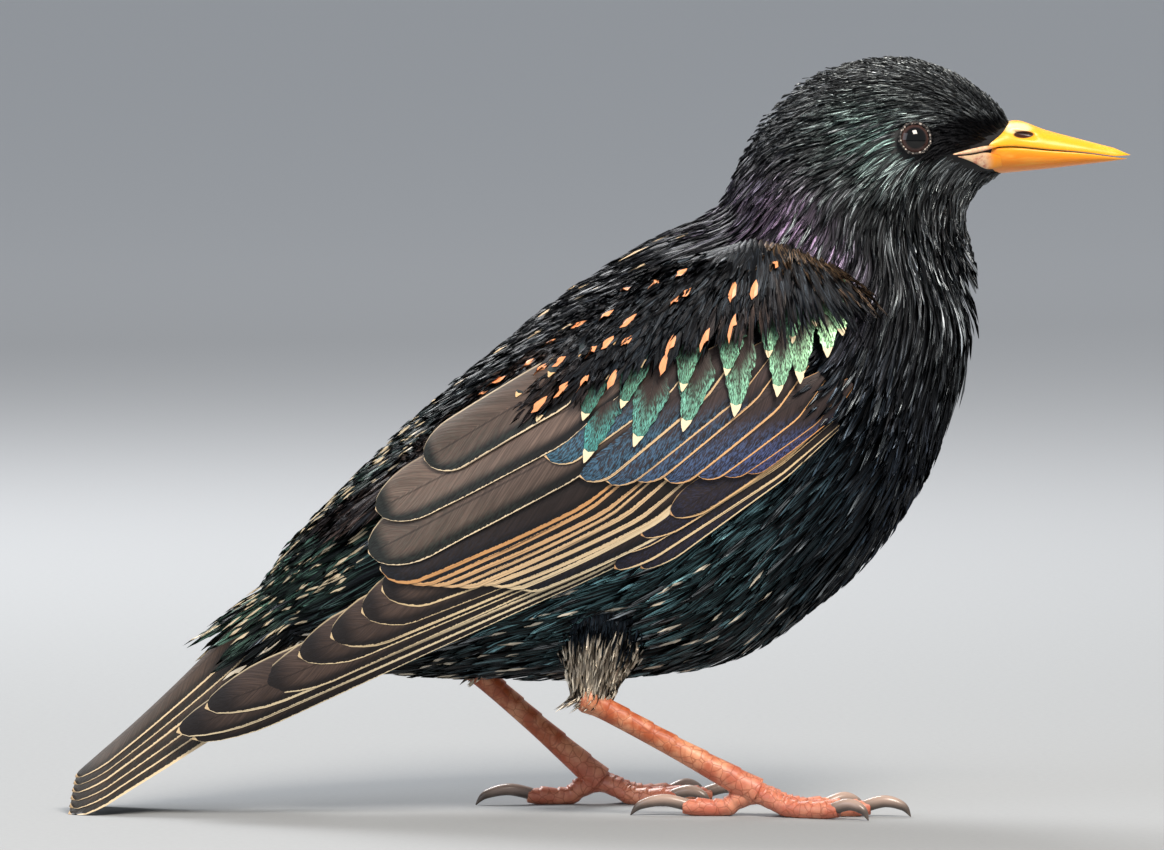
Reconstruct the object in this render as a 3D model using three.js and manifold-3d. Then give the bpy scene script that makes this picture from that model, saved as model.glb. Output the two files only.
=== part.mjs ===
// A common starling in breeding plumage, life size, standing with its right side to -Y.
// Millimetres, +X towards the bill, +Y to the bird's left, +Z up, origin at the middle of the base.
import * as THREE from "three";
import { mergeVertices } from "three/addons/utils/BufferGeometryUtils.js";
import Module from "manifold-3d";

const wasm = await Module();
wasm.setup();

// Driving sizes
const GAP = 0.3; // clearance between neighbouring pieces
const PITCH = THREE.MathUtils.degToRad(38); // slope of the back and tail
const SHOULDER = { x: 43.9, z: 78.4 }; // where the body's axis starts, between the wing bends
const RIGHT = -1;
const LEFT = 1;

// The trunk, in sections square to its axis. along is the distance back from the shoulder,
// top and low the heights over the axis, half the half width, lean how high the widest level is.
const TRUNK = [
  { along: 99, top: 24.0, low: 10.0, half: 6.5, lean: 0 },
  { along: 90, top: 26.8, low: -1.0, half: 12.5, lean: 0.05 },
  { along: 76, top: 28.8, low: -12.5, half: 17.5, lean: 0.1 },
  { along: 62, top: 30.2, low: -23.5, half: 21.5, lean: 0.12 },
  { along: 46, top: 31.0, low: -32.4, half: 24.8, lean: 0.12 },
  { along: 30, top: 31.0, low: -34.2, half: 26.3, lean: 0.1 },
  { along: 14, top: 29.3, low: -32.6, half: 26.0, lean: 0.08 },
];

// Breast, neck and head: the crown side and throat side of each section, as x and z.
const FORE = [
  { top: [25.2, 98.0], low: [60.6, 57.2], half: 24.6, lean: 0.04 },
  { top: [28.4, 103.6], low: [65.8, 74.5], half: 21.6, lean: 0 },
  { top: [31.0, 108.5], low: [64.4, 86.0], half: 18.0, lean: 0 },
  { top: [35.0, 113.7], low: [64.2, 92.6], half: 15.4, lean: 0 },
  { top: [41.0, 119.0], low: [65.6, 97.6], half: 13.6, lean: 0 },
  { top: [48.8, 122.0], low: [67.4, 100.6], half: 12.2, lean: 0 },
  { top: [56.1, 122.5], low: [69.0, 102.2], half: 10.8, lean: 0 },
  { top: [62.6, 120.8], low: [70.3, 102.9], half: 9.0, lean: 0 },
  { top: [68.0, 117.6], low: [71.3, 103.4], half: 7.0, lean: 0 },
  { top: [71.6, 114.3], low: [72.1, 103.8], half: 5.4, lean: 0 },
  { top: [73.2, 112.4], low: [72.6, 104.3], half: 4.2, lean: 0 },
];
const NECK_CUT = 7.6; // section at which the trunk ends and the neck begins
const HEAD_CUT = 10.4; // section at which the neck ends and the head begins
const FULLNESS = 0.93; // under 1 makes a section fuller than an ellipse

// Pointed throat feathers, row by row from the chin down. at and reach are sections of the body.
const HACKLES = [
  { at: 9.0, reach: 8.0, count: 7, spread: 1.25, half: 1.7, height: 0.9 },
  { at: 9.7, reach: 8.6, count: 7, spread: 1.2, half: 1.6, height: 1.1 },
  { at: 10.9, reach: 9.5, count: 6, spread: 1.1, half: 1.5, height: 1.2 },
  { at: 12.2, reach: 10.7, count: 5, spread: 0.95, half: 1.35, height: 1.0 },
];

// The surface that the folded wing lies on: the trunk in front, its own taper behind.
const WING_BED = [
  { along: 134, top: 22.0, low: 6.0, half: 9.0, lean: 0 },
  { along: 122, top: 22.5, low: 3.0, half: 10.6, lean: 0 },
  { along: 110, top: 24.0, low: -1.0, half: 13.2, lean: 0 },
  { along: 97, top: 26.0, low: -6.0, half: 16.4, lean: 0.03 },
  { along: 84, top: 28.0, low: -12.0, half: 18.6, lean: 0.06 },
  { along: 70, top: 29.6, low: -19.5, half: 20.6, lean: 0.1 },
];
const BED_DEPTH = 0.7; // how far the free wing reaches in under that surface

// The tail: an arch over the midline that flattens towards its end.
const TAIL = {
  root: 85,
  end: 147,
  ridge: [26.0, 21.8, 19.3, 18.35],
  drop: [16.0, 11.0, 6.6, 4.0],
  half: [7.5, 8.2, 9.2, 10.4],
  thick: 1.9,
};

const COLOURS = {
  plumage: 0x14161c,
  hackles: 0x1b2024,
  wing: 0x4a3b33,
  tail: 0x43372f,
  thigh: 0x6d6256,
  bill: 0xf2a81c,
  eye: 0x1c0f0b,
  leg: 0xc4623f,
  claw: 0x4a403a,
};

const v3 = (x, y, z) => new THREE.Vector3(x, y, z);

// A point of the side plane from its place along and above the body's axis
function sidePoint(along, up) {
  return {
    x: SHOULDER.x - along * Math.cos(PITCH) - up * Math.sin(PITCH),
    z: SHOULDER.z - along * Math.sin(PITCH) + up * Math.cos(PITCH),
  };
}

// Smooth curve through evenly spaced values
function through(values, t) {
  const last = values.length - 1;
  const i = Math.min(Math.max(Math.floor(t), 0), last - 1);
  const f = Math.min(Math.max(t - i, 0), 1);
  const before = values[Math.max(i - 1, 0)];
  const after = values[Math.min(i + 2, last)];
  const bend = (values[i + 1] - before) / 2;
  const next = (after - values[i]) / 2;
  const rise = values[i + 1] - values[i];
  return values[i] + f * bend + f * f * (3 * rise - 2 * bend - next) + f * f * f * (bend + next - 2 * rise);
}

// Closed solid through rings of the same count. A ring of one point is a tip.
function loft(rings) {
  const position = [];
  const index = [];
  const starts = rings.map((ring) => {
    const start = position.length / 3;
    ring.forEach((p) => position.push(p.x, p.y, p.z));
    return start;
  });
  const cap = (ring, start, flip) => {
    if (ring.length === 1) return;
    const centre = ring.reduce((sum, p) => sum.add(p), v3(0, 0, 0)).divideScalar(ring.length);
    const hub = position.length / 3;
    position.push(centre.x, centre.y, centre.z);
    ring.forEach((_, k) => {
      const a = start + k;
      const b = start + ((k + 1) % ring.length);
      index.push(...(flip ? [hub, a, b] : [hub, b, a]));
    });
  };
  for (let i = 0; i + 1 < rings.length; i++) {
    const count = Math.max(rings[i].length, rings[i + 1].length);
    for (let k = 0; k < count; k++) {
      const corner = (r, j) => starts[r] + (rings[r].length === 1 ? 0 : j % count);
      const [a, b, c, d] = [corner(i, k), corner(i, k + 1), corner(i + 1, k + 1), corner(i + 1, k)];
      const faces = k % 2 ? [[a, b, d], [b, c, d]] : [[a, b, c], [a, c, d]];
      faces.filter(([p, q, r]) => p !== q && q !== r && r !== p).forEach((f) => index.push(...f));
    }
  }
  cap(rings[0], starts[0], false);
  cap(rings[rings.length - 1], starts[rings.length - 1], true);
  return solidFrom(new Float32Array(position), new Uint32Array(index));
}

// Manifold solid with its faces pointing out
function solidFrom(vertProperties, triVerts) {
  const make = () => new wasm.Manifold(new wasm.Mesh({ numProp: 3, vertProperties, triVerts }));
  const made = make();
  if (made.volume() >= 0) return made;
  for (let i = 0; i < triVerts.length; i += 3) {
    [triVerts[i + 1], triVerts[i + 2]] = [triVerts[i + 2], triVerts[i + 1]];
  }
  return make();
}

function solidOf(geometry) {
  const bare = geometry.clone();
  bare.deleteAttribute("normal");
  bare.deleteAttribute("uv");
  const merged = mergeVertices(bare, 1e-4);
  return solidFrom(new Float32Array(merged.attributes.position.array), new Uint32Array(merged.index.array));
}

const join = (solids) => wasm.Manifold.union(solids);

// The largest closed surface of a solid
function largest(solid) {
  return solid.decompose().reduce((best, one) => (one.volume() > best.volume() ? one : best));
}

// A smooth form through sections, each between a top and a low point of the side plane
function makeForm(sections) {
  const list = (pick) => sections.map(pick);
  const topX = list((s) => s.top[0]);
  const topZ = list((s) => s.top[1]);
  const lowX = list((s) => s.low[0]);
  const lowZ = list((s) => s.low[1]);
  const halves = list((s) => s.half);
  const leans = list((s) => s.lean);
  const last = sections.length - 1;
  const section = (t) => {
    const top = { x: through(topX, t), z: through(topZ, t) };
    const low = { x: through(lowX, t), z: through(lowZ, t) };
    return {
      top,
      low,
      half: through(halves, t),
      lean: through(leans, t),
      mid: { x: (top.x + low.x) / 2, z: (top.z + low.z) / 2 },
      rise: { x: (top.x - low.x) / 2, z: (top.z - low.z) / 2 },
    };
  };
  const fuller = (v, power) => Math.sign(v) * Math.abs(v) ** power;
  const point = (t, turn) => {
    const s = section(t);
    const c = fuller(Math.cos(turn), FULLNESS);
    const height = c + s.lean * (1 - c * c);
    return v3(s.mid.x + s.rise.x * height, s.half * fuller(Math.sin(turn), FULLNESS), s.mid.z + s.rise.z * height);
  };
  const normal = (t, turn) => {
    const step = 1e-3;
    const t0 = Math.min(Math.max(t, 2 * step), last - 2 * step);
    const along = point(t0 + step, turn).sub(point(t0 - step, turn));
    const round = point(t0, turn + step).sub(point(t0, turn - step));
    const out = along.cross(round).normalize();
    const s = section(t0);
    const away = point(t0, turn).sub(v3(s.mid.x, 0, s.mid.z));
    return out.dot(away) < 0 ? out.negate() : out;
  };
  // The section whose plane holds a point, and the point's place round that section
  const locate = (x, z) => {
    const side = (t) => {
      const s = section(t);
      return (s.low.x - s.top.x) * (z - s.top.z) - (s.low.z - s.top.z) * (x - s.top.x);
    };
    let lo = 0;
    let hi = last;
    const sign = Math.sign(side(lo));
    for (let k = 0; k < 30; k++) {
      const mid = (lo + hi) / 2;
      if (Math.sign(side(mid)) === sign) lo = mid;
      else hi = mid;
    }
    const t = (lo + hi) / 2;
    const s = section(t);
    const size = s.rise.x ** 2 + s.rise.z ** 2;
    const height = ((x - s.mid.x) * s.rise.x + (z - s.mid.z) * s.rise.z) / size;
    const c = Math.abs(s.lean) < 1e-6 ? height : (1 - Math.sqrt(1 - 4 * s.lean * (height - s.lean))) / (2 * s.lean);
    return { t, c: Math.min(Math.max(c, -0.999), 0.999), half: s.half };
  };
  const over = (t, turn, height) => point(t, turn).addScaledVector(normal(t, turn), height);
  // The place on the form seen from the side at x and z, raised by height
  const lift = (x, z, side, height) => {
    const { t, c } = locate(x, z);
    return over(t, side * Math.acos(fuller(c, 1 / FULLNESS)), height);
  };
  // The place on the form nearest to a point, raised by height
  const project = (p, height) => {
    const { t, c, half } = locate(p.x, p.z);
    return over(t, Math.atan2(fuller(p.y / half, 1 / FULLNESS), fuller(c, 1 / FULLNESS)), height);
  };
  const facing = (p) => {
    const { t, c, half } = locate(p.x, p.z);
    return normal(t, Math.atan2(fuller(p.y / half, 1 / FULLNESS), fuller(c, 1 / FULLNESS)));
  };
  const solid = (grow, round, step) => {
    const rings = [];
    const count = Math.round(last / step);
    for (let i = 0; i <= count; i++) {
      const t = (i * last) / count;
      rings.push(Array.from({ length: round }, (_, k) => over(t, (k * 2 * Math.PI) / round, grow)));
    }
    return loft(rings);
  };
  return { section, point, normal, lift, project, facing, solid, last };
}

const trunkSection = ({ along, top, low, half, lean }) => {
  const high = sidePoint(along, top);
  const under = sidePoint(along, low);
  return { top: [high.x, high.z], low: [under.x, under.z], half, lean };
};
const body = makeForm([...TRUNK.map(trunkSection), ...FORE]);
const bed = makeForm([...WING_BED.map(trunkSection), ...TRUNK.slice(3).map(trunkSection), ...FORE.slice(0, 3)]);

// Half width of a feather at a share of its length, as a share of its greatest half width
const OUTLINES = {
  round: (s) => Math.sqrt(Math.min(1, 0.25 + s * 3)) * Math.sqrt(Math.max(0, 1 - (Math.max(0, s - 0.66) / 0.34) ** 2)),
  lance: (s) => Math.sin(Math.PI * (0.22 + 0.78 * s)) ** 0.8,
};
const VANE_STEPS = { round: [0, 0.4, 0.75, 0.92, 1], lance: [0, 0.4, 0.75, 1] };

// One feather as a closed blade that lies on a form. Its root and tip are places in the side plane;
// its upper edge is tucked in and its lower edge stands out, as on overlapping feathers.
function vane(form, { root, tip, side, half, height, tilt = 0, bow = 0, depth = 2.4, outline = "round" }) {
  const [ra, ru] = root;
  const [ta, tu] = tip;
  const length = Math.hypot(ta - ra, tu - ru);
  const centre = (s) => {
    const arch = bow * 4 * s * (1 - s);
    const along = ra + (ta - ra) * s - ((tu - ru) / length) * arch;
    const up = ru + (tu - ru) * s + ((ta - ra) / length) * arch;
    const p = sidePoint(along, up);
    return form.lift(p.x, p.z, side, height);
  };
  const rings = VANE_STEPS[outline].map((s) => {
    const mid = centre(s);
    if (s === 1) return [mid];
    const ahead = centre(Math.min(s + 0.02, 1)).sub(centre(Math.max(s - 0.02, 0))).normalize();
    const out = form.facing(mid);
    const across = out.clone().cross(ahead).multiplyScalar(side).normalize();
    const wide = half * OUTLINES[outline](s);
    const upper = form.project(mid.clone().addScaledVector(across, wide), height - tilt - 0.2);
    const lower = form.project(mid.clone().addScaledVector(across, -wide), height + tilt - 0.2);
    const inward = (q) => q.clone().addScaledVector(out, -depth);
    return [upper, mid, lower, inward(lower), inward(upper)];
  });
  return loft(rings);
}

// Feathers of one tract, each between the first and the last one's sizes
function tract(form, count, first, last, shared) {
  const mix = (a, b, f) => (Array.isArray(a) ? a.map((v, i) => v + (b[i] - v) * f) : a + (b - a) * f);
  return Array.from({ length: count }, (_, k) => {
    const f = count > 1 ? k / (count - 1) : 0;
    const one = { ...shared };
    Object.keys(first).forEach((key) => {
      one[key] = mix(first[key], last[key], f);
    });
    return vane(form, one);
  });
}

// A pointed lock of the throat. at and reach are sections of the body, turn its place round them.
function lock({ at, reach, turn, twist, half, height }) {
  const centre = (s) => ({ t: at + (reach - at) * s, turn: turn + twist * s });
  const rings = [0, 0.35, 0.7, 1].map((s) => {
    const { t, turn: place } = centre(s);
    const rise = height * s;
    const mid = body.point(t, place).addScaledVector(body.normal(t, place), rise + 0.25);
    if (s === 1) return [mid];
    const out = body.normal(t, place);
    const ahead = body.point(centre(s + 0.1).t, centre(s + 0.1).turn).sub(body.point(t, place)).normalize();
    const across = out.clone().cross(ahead).normalize().multiplyScalar(half * (1 - s * s * 0.6));
    return [
      mid.clone().add(across).addScaledVector(out, -0.3),
      mid,
      mid.clone().sub(across).addScaledVector(out, -0.3),
      mid.clone().addScaledVector(out, -1.1 - rise * 0.6),
    ];
  });
  return loft(rings);
}

// Rows of locks round the throat, each row set between the locks of the one above
function throatLocks() {
  return HACKLES.flatMap(({ at, reach, count, spread, half, height }, row) =>
    Array.from({ length: count }, (_, k) => {
      const place = ((k + 0.5) / count - 0.5) * 2 * spread;
      const uneven = Math.sin(row * 5.1 + k * 2.3);
      return lock({
        at: at + 0.1 * uneven,
        reach: reach - 0.12 * uneven,
        turn: Math.PI + place,
        twist: place * 0.06,
        half,
        height: height * (1 + 0.25 * uneven),
      });
    }),
  );
}

// The arched sheet of the tail: a place along it and out from the midline, raised by height
function tailSheet(along, out, height) {
  const at = (a, y) => {
    const f = ((a - TAIL.root) / (TAIL.end - TAIL.root)) * (TAIL.ridge.length - 1);
    const fall = through(TAIL.drop, f) * Math.abs(y / through(TAIL.half, f)) ** 1.5;
    const p = sidePoint(a, through(TAIL.ridge, f) - fall);
    return v3(p.x, y, p.z);
  };
  const across = at(along, out + 0.05).sub(at(along, out - 0.05));
  const back = at(along + 0.05, out).sub(at(along - 0.05, out));
  const normal = back.cross(across).normalize();
  if (normal.z < 0) normal.negate();
  return at(along, out).addScaledVector(normal, height);
}

// One tail feather, a flat blade on the arched sheet
function rectrix(side, order) {
  const rootOut = side * (0.8 + order * 0.95);
  const tipOut = side * (1.5 + order * 1.35);
  const tipAlong = 141.5 + order * 0.85;
  const height = -order * 0.28;
  const half = 3.4;
  const rings = VANE_STEPS.round.map((s) => {
    const along = TAIL.root + (tipAlong - TAIL.root) * s;
    const out = rootOut + (tipOut - rootOut) * s;
    if (s === 1) return [tailSheet(along, out, height - 0.3)];
    const wide = (half - 1.3 * (1 - s)) * OUTLINES.round(s);
    const inner = Math.max(side * out - wide, -0.6);
    return [
      tailSheet(along, side * inner, height - 0.15),
      tailSheet(along, out, height),
      tailSheet(along, out + side * wide, height - 0.25),
      tailSheet(along, out, height - 0.95),
    ];
  });
  return loft(rings);
}

// The room that the tail takes, with its clearance
function tailRoom(grow) {
  const steps = 8;
  const spread = [-1, -0.6, -0.3, 0, 0.3, 0.6, 1];
  const rings = Array.from({ length: steps + 1 }, (_, i) => {
    const along = TAIL.root - grow + ((TAIL.end + 4 - TAIL.root) * i) / steps;
    const kept = Math.min(Math.max(along, TAIL.root), TAIL.end);
    const half = through(TAIL.half, ((kept - TAIL.root) / (TAIL.end - TAIL.root)) * 3) + 0.6 + grow;
    const shift = sidePoint(along - kept, 0);
    const move = v3(shift.x - SHOULDER.x, 0, shift.z - SHOULDER.z);
    const top = spread.map((f) => tailSheet(kept, f * half, 0.35 + grow).add(move));
    const low = spread.map((f) => tailSheet(kept, f * half, -TAIL.thick - 1 - grow).add(move)).reverse();
    return [...top, ...low];
  });
  return loft(rings);
}

// A tube of varying radius along a curve. wide and deep scale it sideways and upwards.
function limb(points, radii, { sides = 8, steps = 8, wide = 1, deep = 1, pointed = false } = {}) {
  const curve = new THREE.CatmullRomCurve3(points, false, "centripetal");
  const rings = [];
  for (let i = 0; i <= steps; i++) {
    const s = i / steps;
    const p = curve.getPoint(s);
    if (pointed && i === steps) {
      rings.push([p]);
      break;
    }
    const ahead = curve.getTangent(s);
    const sideways = v3(0, 1, 0).addScaledVector(ahead, -ahead.y);
    if (sideways.length() < 0.2) sideways.set(1, 0, 0).addScaledVector(ahead, -ahead.x);
    sideways.normalize();
    const upward = sideways.clone().cross(ahead).normalize();
    const radius = through(radii, s * (radii.length - 1));
    rings.push(
      Array.from({ length: sides }, (_, k) => {
        const turn = ((k + 0.5) * 2 * Math.PI) / sides;
        return p
          .clone()
          .addScaledVector(sideways, Math.cos(turn) * radius * wide)
          .addScaledVector(upward, Math.sin(turn) * radius * deep);
      }),
    );
  }
  return loft(rings);
}

const root = new THREE.Group();

// Everything stands on the floor at z = 0, so what reaches below it is planed off flat
function add(name, solid, colour, roughness = 0.6) {
  const mesh = largest(solid.trimByPlane([0, 0, 1], 0)).getMesh();
  const geometry = new THREE.BufferGeometry();
  const stride = mesh.numProp;
  const position = new Float32Array(mesh.numVert * 3);
  for (let i = 0; i < mesh.numVert; i++) {
    position.set(mesh.vertProperties.subarray(i * stride, i * stride + 3), i * 3);
  }
  geometry.setAttribute("position", new THREE.BufferAttribute(position, 3));
  geometry.setIndex(new THREE.BufferAttribute(new Uint32Array(mesh.triVerts), 1));
  const material = new THREE.MeshStandardMaterial({ color: colour, roughness, metalness: 0 });
  const made = new THREE.Mesh(geometry, material);
  made.name = name;
  root.add(made);
}

// Bill
const BILL = {
  // x along the bill, crown, mouth line, chin and half width
  x: [66.5, 70.0, 74.0, 79.0, 85.0, 90.0],
  crown: [109.0, 110.6, 112.5, 110.9, 109.3, 108.0],
  mouth: [107.6, 108.2, 108.3, 107.8, 107.3, 106.6],
  chin: [103.2, 103.7, 104.1, 104.6, 105.3, 105.9],
  half: [7.0, 6.1, 4.9, 3.9, 2.7, 1.5],
  tip: [92.7, 106.6],
};
function mandible(upper, grow) {
  const steps = 10;
  const last = BILL.x.length - 1;
  const rings = Array.from({ length: steps }, (_, i) => {
    const t = (i * last) / (steps - 1);
    const x = through(BILL.x, t) - (i ? 0 : grow);
    const half = through(BILL.half, t) + grow;
    const edge = through(BILL.mouth, t) + (upper ? -grow + 0.15 : grow - 0.15);
    const far = upper ? through(BILL.crown, t) + grow : through(BILL.chin, t) - grow;
    return Array.from({ length: 10 }, (_, k) => {
      const turn = (k * Math.PI) / 9;
      const rise = Math.sin(turn) ** 0.85;
      return v3(x, half * Math.cos(turn) * (upper ? 1 : 0.94), edge + (far - edge) * rise);
    });
  });
  const tipZ = BILL.tip[1] + (upper ? 0.25 : -0.35);
  rings.push([v3(BILL.tip[0] - (upper ? 0 : 0.5) + grow, 0, tipZ)]);
  return loft(rings);
}

// Head, neck and trunk, parted from one form by thin cuts
const ROUND = 22;
const whole = join([body.solid(0, ROUND, 0.5), ...throatLocks()]);
const wholeGrown = body.solid(GAP, ROUND, 0.5);

function cutAt(t) {
  const { top, low } = body.section(t);
  const normal = new THREE.Vector2(-(low.z - top.z), low.x - top.x).normalize();
  if (normal.x < 0) normal.negate();
  return { normal: [normal.x, 0, normal.y], offset: normal.x * top.x + normal.y * top.z };
}
function ahead(solid, t) {
  const { normal, offset } = cutAt(t);
  return solid.trimByPlane(normal, offset + GAP / 2);
}
function behind(solid, t) {
  const { normal, offset } = cutAt(t);
  return solid.trimByPlane(normal.map((v) => -v), -(offset - GAP / 2));
}

const billRoom = join([mandible(true, GAP), mandible(false, GAP)]);

const EYE = { x: 57.4, z: 110.0, ball: 3.3, sunk: 2.45, ring: 2.55, lid: 0.45 };
const eyeAt = (side, sunk) => body.lift(EYE.x, EYE.z, side, -sunk);
function eyeball(side, grow) {
  const centre = eyeAt(side, EYE.sunk);
  const ball = new THREE.SphereGeometry(EYE.ball + grow, 12, 8);
  ball.translate(centre.x, centre.y, centre.z);
  return solidOf(ball);
}
function lids(side) {
  const ring = new THREE.TorusGeometry(EYE.ring, EYE.lid, 5, 14);
  const centre = eyeAt(side, -0.1);
  const facing = body.facing(centre);
  ring.applyQuaternion(new THREE.Quaternion().setFromUnitVectors(v3(0, 0, 1), facing));
  ring.translate(centre.x, centre.y, centre.z);
  return solidOf(ring);
}

let head = join([ahead(whole, HEAD_CUT), lids(RIGHT), lids(LEFT)]);
head = head.subtract(billRoom).subtract(eyeball(RIGHT, GAP)).subtract(eyeball(LEFT, GAP));
add("head", head, COLOURS.hackles);
add("neck", behind(ahead(whole, NECK_CUT), HEAD_CUT), COLOURS.hackles);
add("eye_right", eyeball(RIGHT, 0), COLOURS.eye, 0.1);
add("eye_left", eyeball(LEFT, 0), COLOURS.eye, 0.1);
const NOSTRIL = { x: 75.2, z: 110.3, half: 3.4, long: 1.7, high: 0.55, deep: 0.9, slope: -0.16 };
function nostril(side) {
  const pit = new THREE.SphereGeometry(1, 8, 4).scale(NOSTRIL.long, NOSTRIL.deep, NOSTRIL.high);
  pit.rotateY(-NOSTRIL.slope).translate(NOSTRIL.x, side * NOSTRIL.half, NOSTRIL.z);
  return solidOf(pit);
}
const upperBill = mandible(true, 0).subtract(join([mandible(false, GAP), nostril(RIGHT), nostril(LEFT)]));
add("bill_upper", upperBill, COLOURS.bill, 0.35);
add("bill_lower", mandible(false, 0), COLOURS.bill, 0.35);

// Legs. Each is a feathered thigh out of the belly, a bare scaled shank, three front toes and a hind toe.
const SHANK = 1.75; // radius of the bare leg
const SCUTES = 7; // horny plates down the shank
const TOE = 1.6; // radius of a toe at its root
const TOE_LEVEL = 1.42; // height of a toe's middle, less than its radius, so that its sole is flat
const LEGS = {
  right: {
    knee: [10, -10.5, 36],
    ankle: [4.9, -12, 18.9],
    foot: [31.9, -10.5, 3.9],
    heading: -4,
    thigh: [9.5, 7.6, 4.9, 2.9, 2.3],
  },
  left: {
    knee: [-6, 11, 36],
    ankle: [-14.5, 14.5, 22.6],
    foot: [6.5, 15.5, 3.9],
    heading: 8,
    thigh: [8.5, 6.6, 4.4, 2.9, 2.3],
  },
};
const TOES = {
  // heading from the foot's own, length and claw length
  middle: { turn: 0, long: 18.5, claw: 6.5 },
  inner: { turn: -27, long: 13.5, claw: 5.5 },
  outer: { turn: 25, long: 15, claw: 5.5 },
  hind: { turn: 180, long: 12, claw: 8.5 },
};

function toe(foot, heading, { long, claw }, grow) {
  const ahead = v3(Math.cos(heading), Math.sin(heading), 0);
  const at = (distance, z) => v3(foot.x, foot.y, z).addScaledVector(ahead, distance);
  const path = [at(0, foot.z), at(3.4, 2.6), at(long * 0.45, TOE_LEVEL), at(long, TOE_LEVEL)];
  const radii = [1.7, TOE, TOE + 0.05, TOE - 0.1, TOE, TOE - 0.25, 1.15].map((r) => r + grow);
  const nail = [at(long - 1.2, 1.6), at(long + claw * 0.35, 2.5), at(long + claw * 0.8, 1.7), at(long + claw, 0.05)];
  return {
    flesh: () => limb(path, radii, { sides: 8, steps: 7 }),
    claw: () => limb(nail, [1.05, 1.0, 0.75, 0.1], { sides: 6, steps: 5, pointed: true }),
  };
}

const thighRoom = {};
for (const [name, side] of [["right", RIGHT], ["left", LEFT]]) {
  const leg = LEGS[name];
  const ankle = v3(...leg.ankle);
  const foot = v3(...leg.foot);
  const knee = v3(...leg.knee);
  const thigh = (grow) => limb(
    [knee, knee.clone().lerp(ankle, 0.5).add(v3(1.2, 0, 0)), ankle],
    leg.thigh.map((r) => r + grow),
    { sides: 12, steps: 8, wide: 0.85 },
  );
  const shank = (grow) => {
    const down = foot.clone().sub(ankle).normalize();
    const start = ankle.clone().addScaledVector(down, -0.6 - grow);
    const scutes = Array.from({ length: 2 * SCUTES }, (_, k) => SHANK + (k % 2 ? 0.14 : -0.08));
    const radii = [2.25, 1.95, ...scutes, 2.0].map((r) => r + grow);
    const stem = limb([start, foot], radii, { sides: 9, steps: grow ? 6 : radii.length - 1 });
    const hub = new THREE.SphereGeometry(2.35 + grow, 10, 6);
    hub.translate(foot.x, foot.y, foot.z - 0.2);
    return join([stem, solidOf(hub)]);
  };
  thighRoom[side] = thigh(GAP);
  const clear = shank(GAP);
  add("thigh_" + name, thigh(0).subtract(clear).subtract(wholeGrown), COLOURS.thigh);
  add("leg_" + name, shank(0), COLOURS.leg);
  let taken = clear;
  for (const [digit, sizes] of Object.entries(TOES)) {
    const turn = THREE.MathUtils.degToRad(leg.heading + side * sizes.turn);
    const flesh = toe(foot, turn, sizes, 0).flesh().subtract(taken);
    const around = toe(foot, turn, sizes, GAP).flesh();
    add("toe_" + digit + "_" + name, flesh, COLOURS.leg);
    add("claw_" + digit + "_" + name, toe(foot, turn, sizes, 0).claw().subtract(around), COLOURS.claw, 0.4);
    taken = join([taken, around]);
  }
}

// Coverts of the tail's root, over it and under it, grown from the end of the trunk
function tailCovert(out, from, to, half, height) {
  const rings = VANE_STEPS.round.map((s) => {
    const along = from + (to - from) * s;
    if (s === 1) return [tailSheet(along, out, height)];
    const wide = half * OUTLINES.round(s);
    const away = Math.sign(height);
    return [
      tailSheet(along, out - wide, height - away * 0.3),
      tailSheet(along, out, height),
      tailSheet(along, out + wide, height - away * 0.3),
      tailSheet(along, out, height - away * 3),
    ];
  });
  return loft(rings);
}
const coverts = [
  ...[-5, 0, 5].map((out) => tailCovert(out, 84, 107 - Math.abs(out) * 0.4, 3.4, 1.7)),
  ...[-2.6, 2.6].map((out) => tailCovert(out, 84, 101, 3.0, 2.4)),
  ...[-4.5, 0, 4.5].map((out) => tailCovert(out, 84, 112 - Math.abs(out), 3.6, -5.2)),
];
add("torso", join([behind(whole, NECK_CUT), ...coverts]).subtract(tailRoom(GAP)), COLOURS.plumage);

// Tail
const rectrices = [RIGHT, LEFT].flatMap((side) => [5, 4, 3, 2, 1, 0].map((order) => rectrix(side, order)));
add("tail", join(rectrices), COLOURS.tail);

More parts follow.
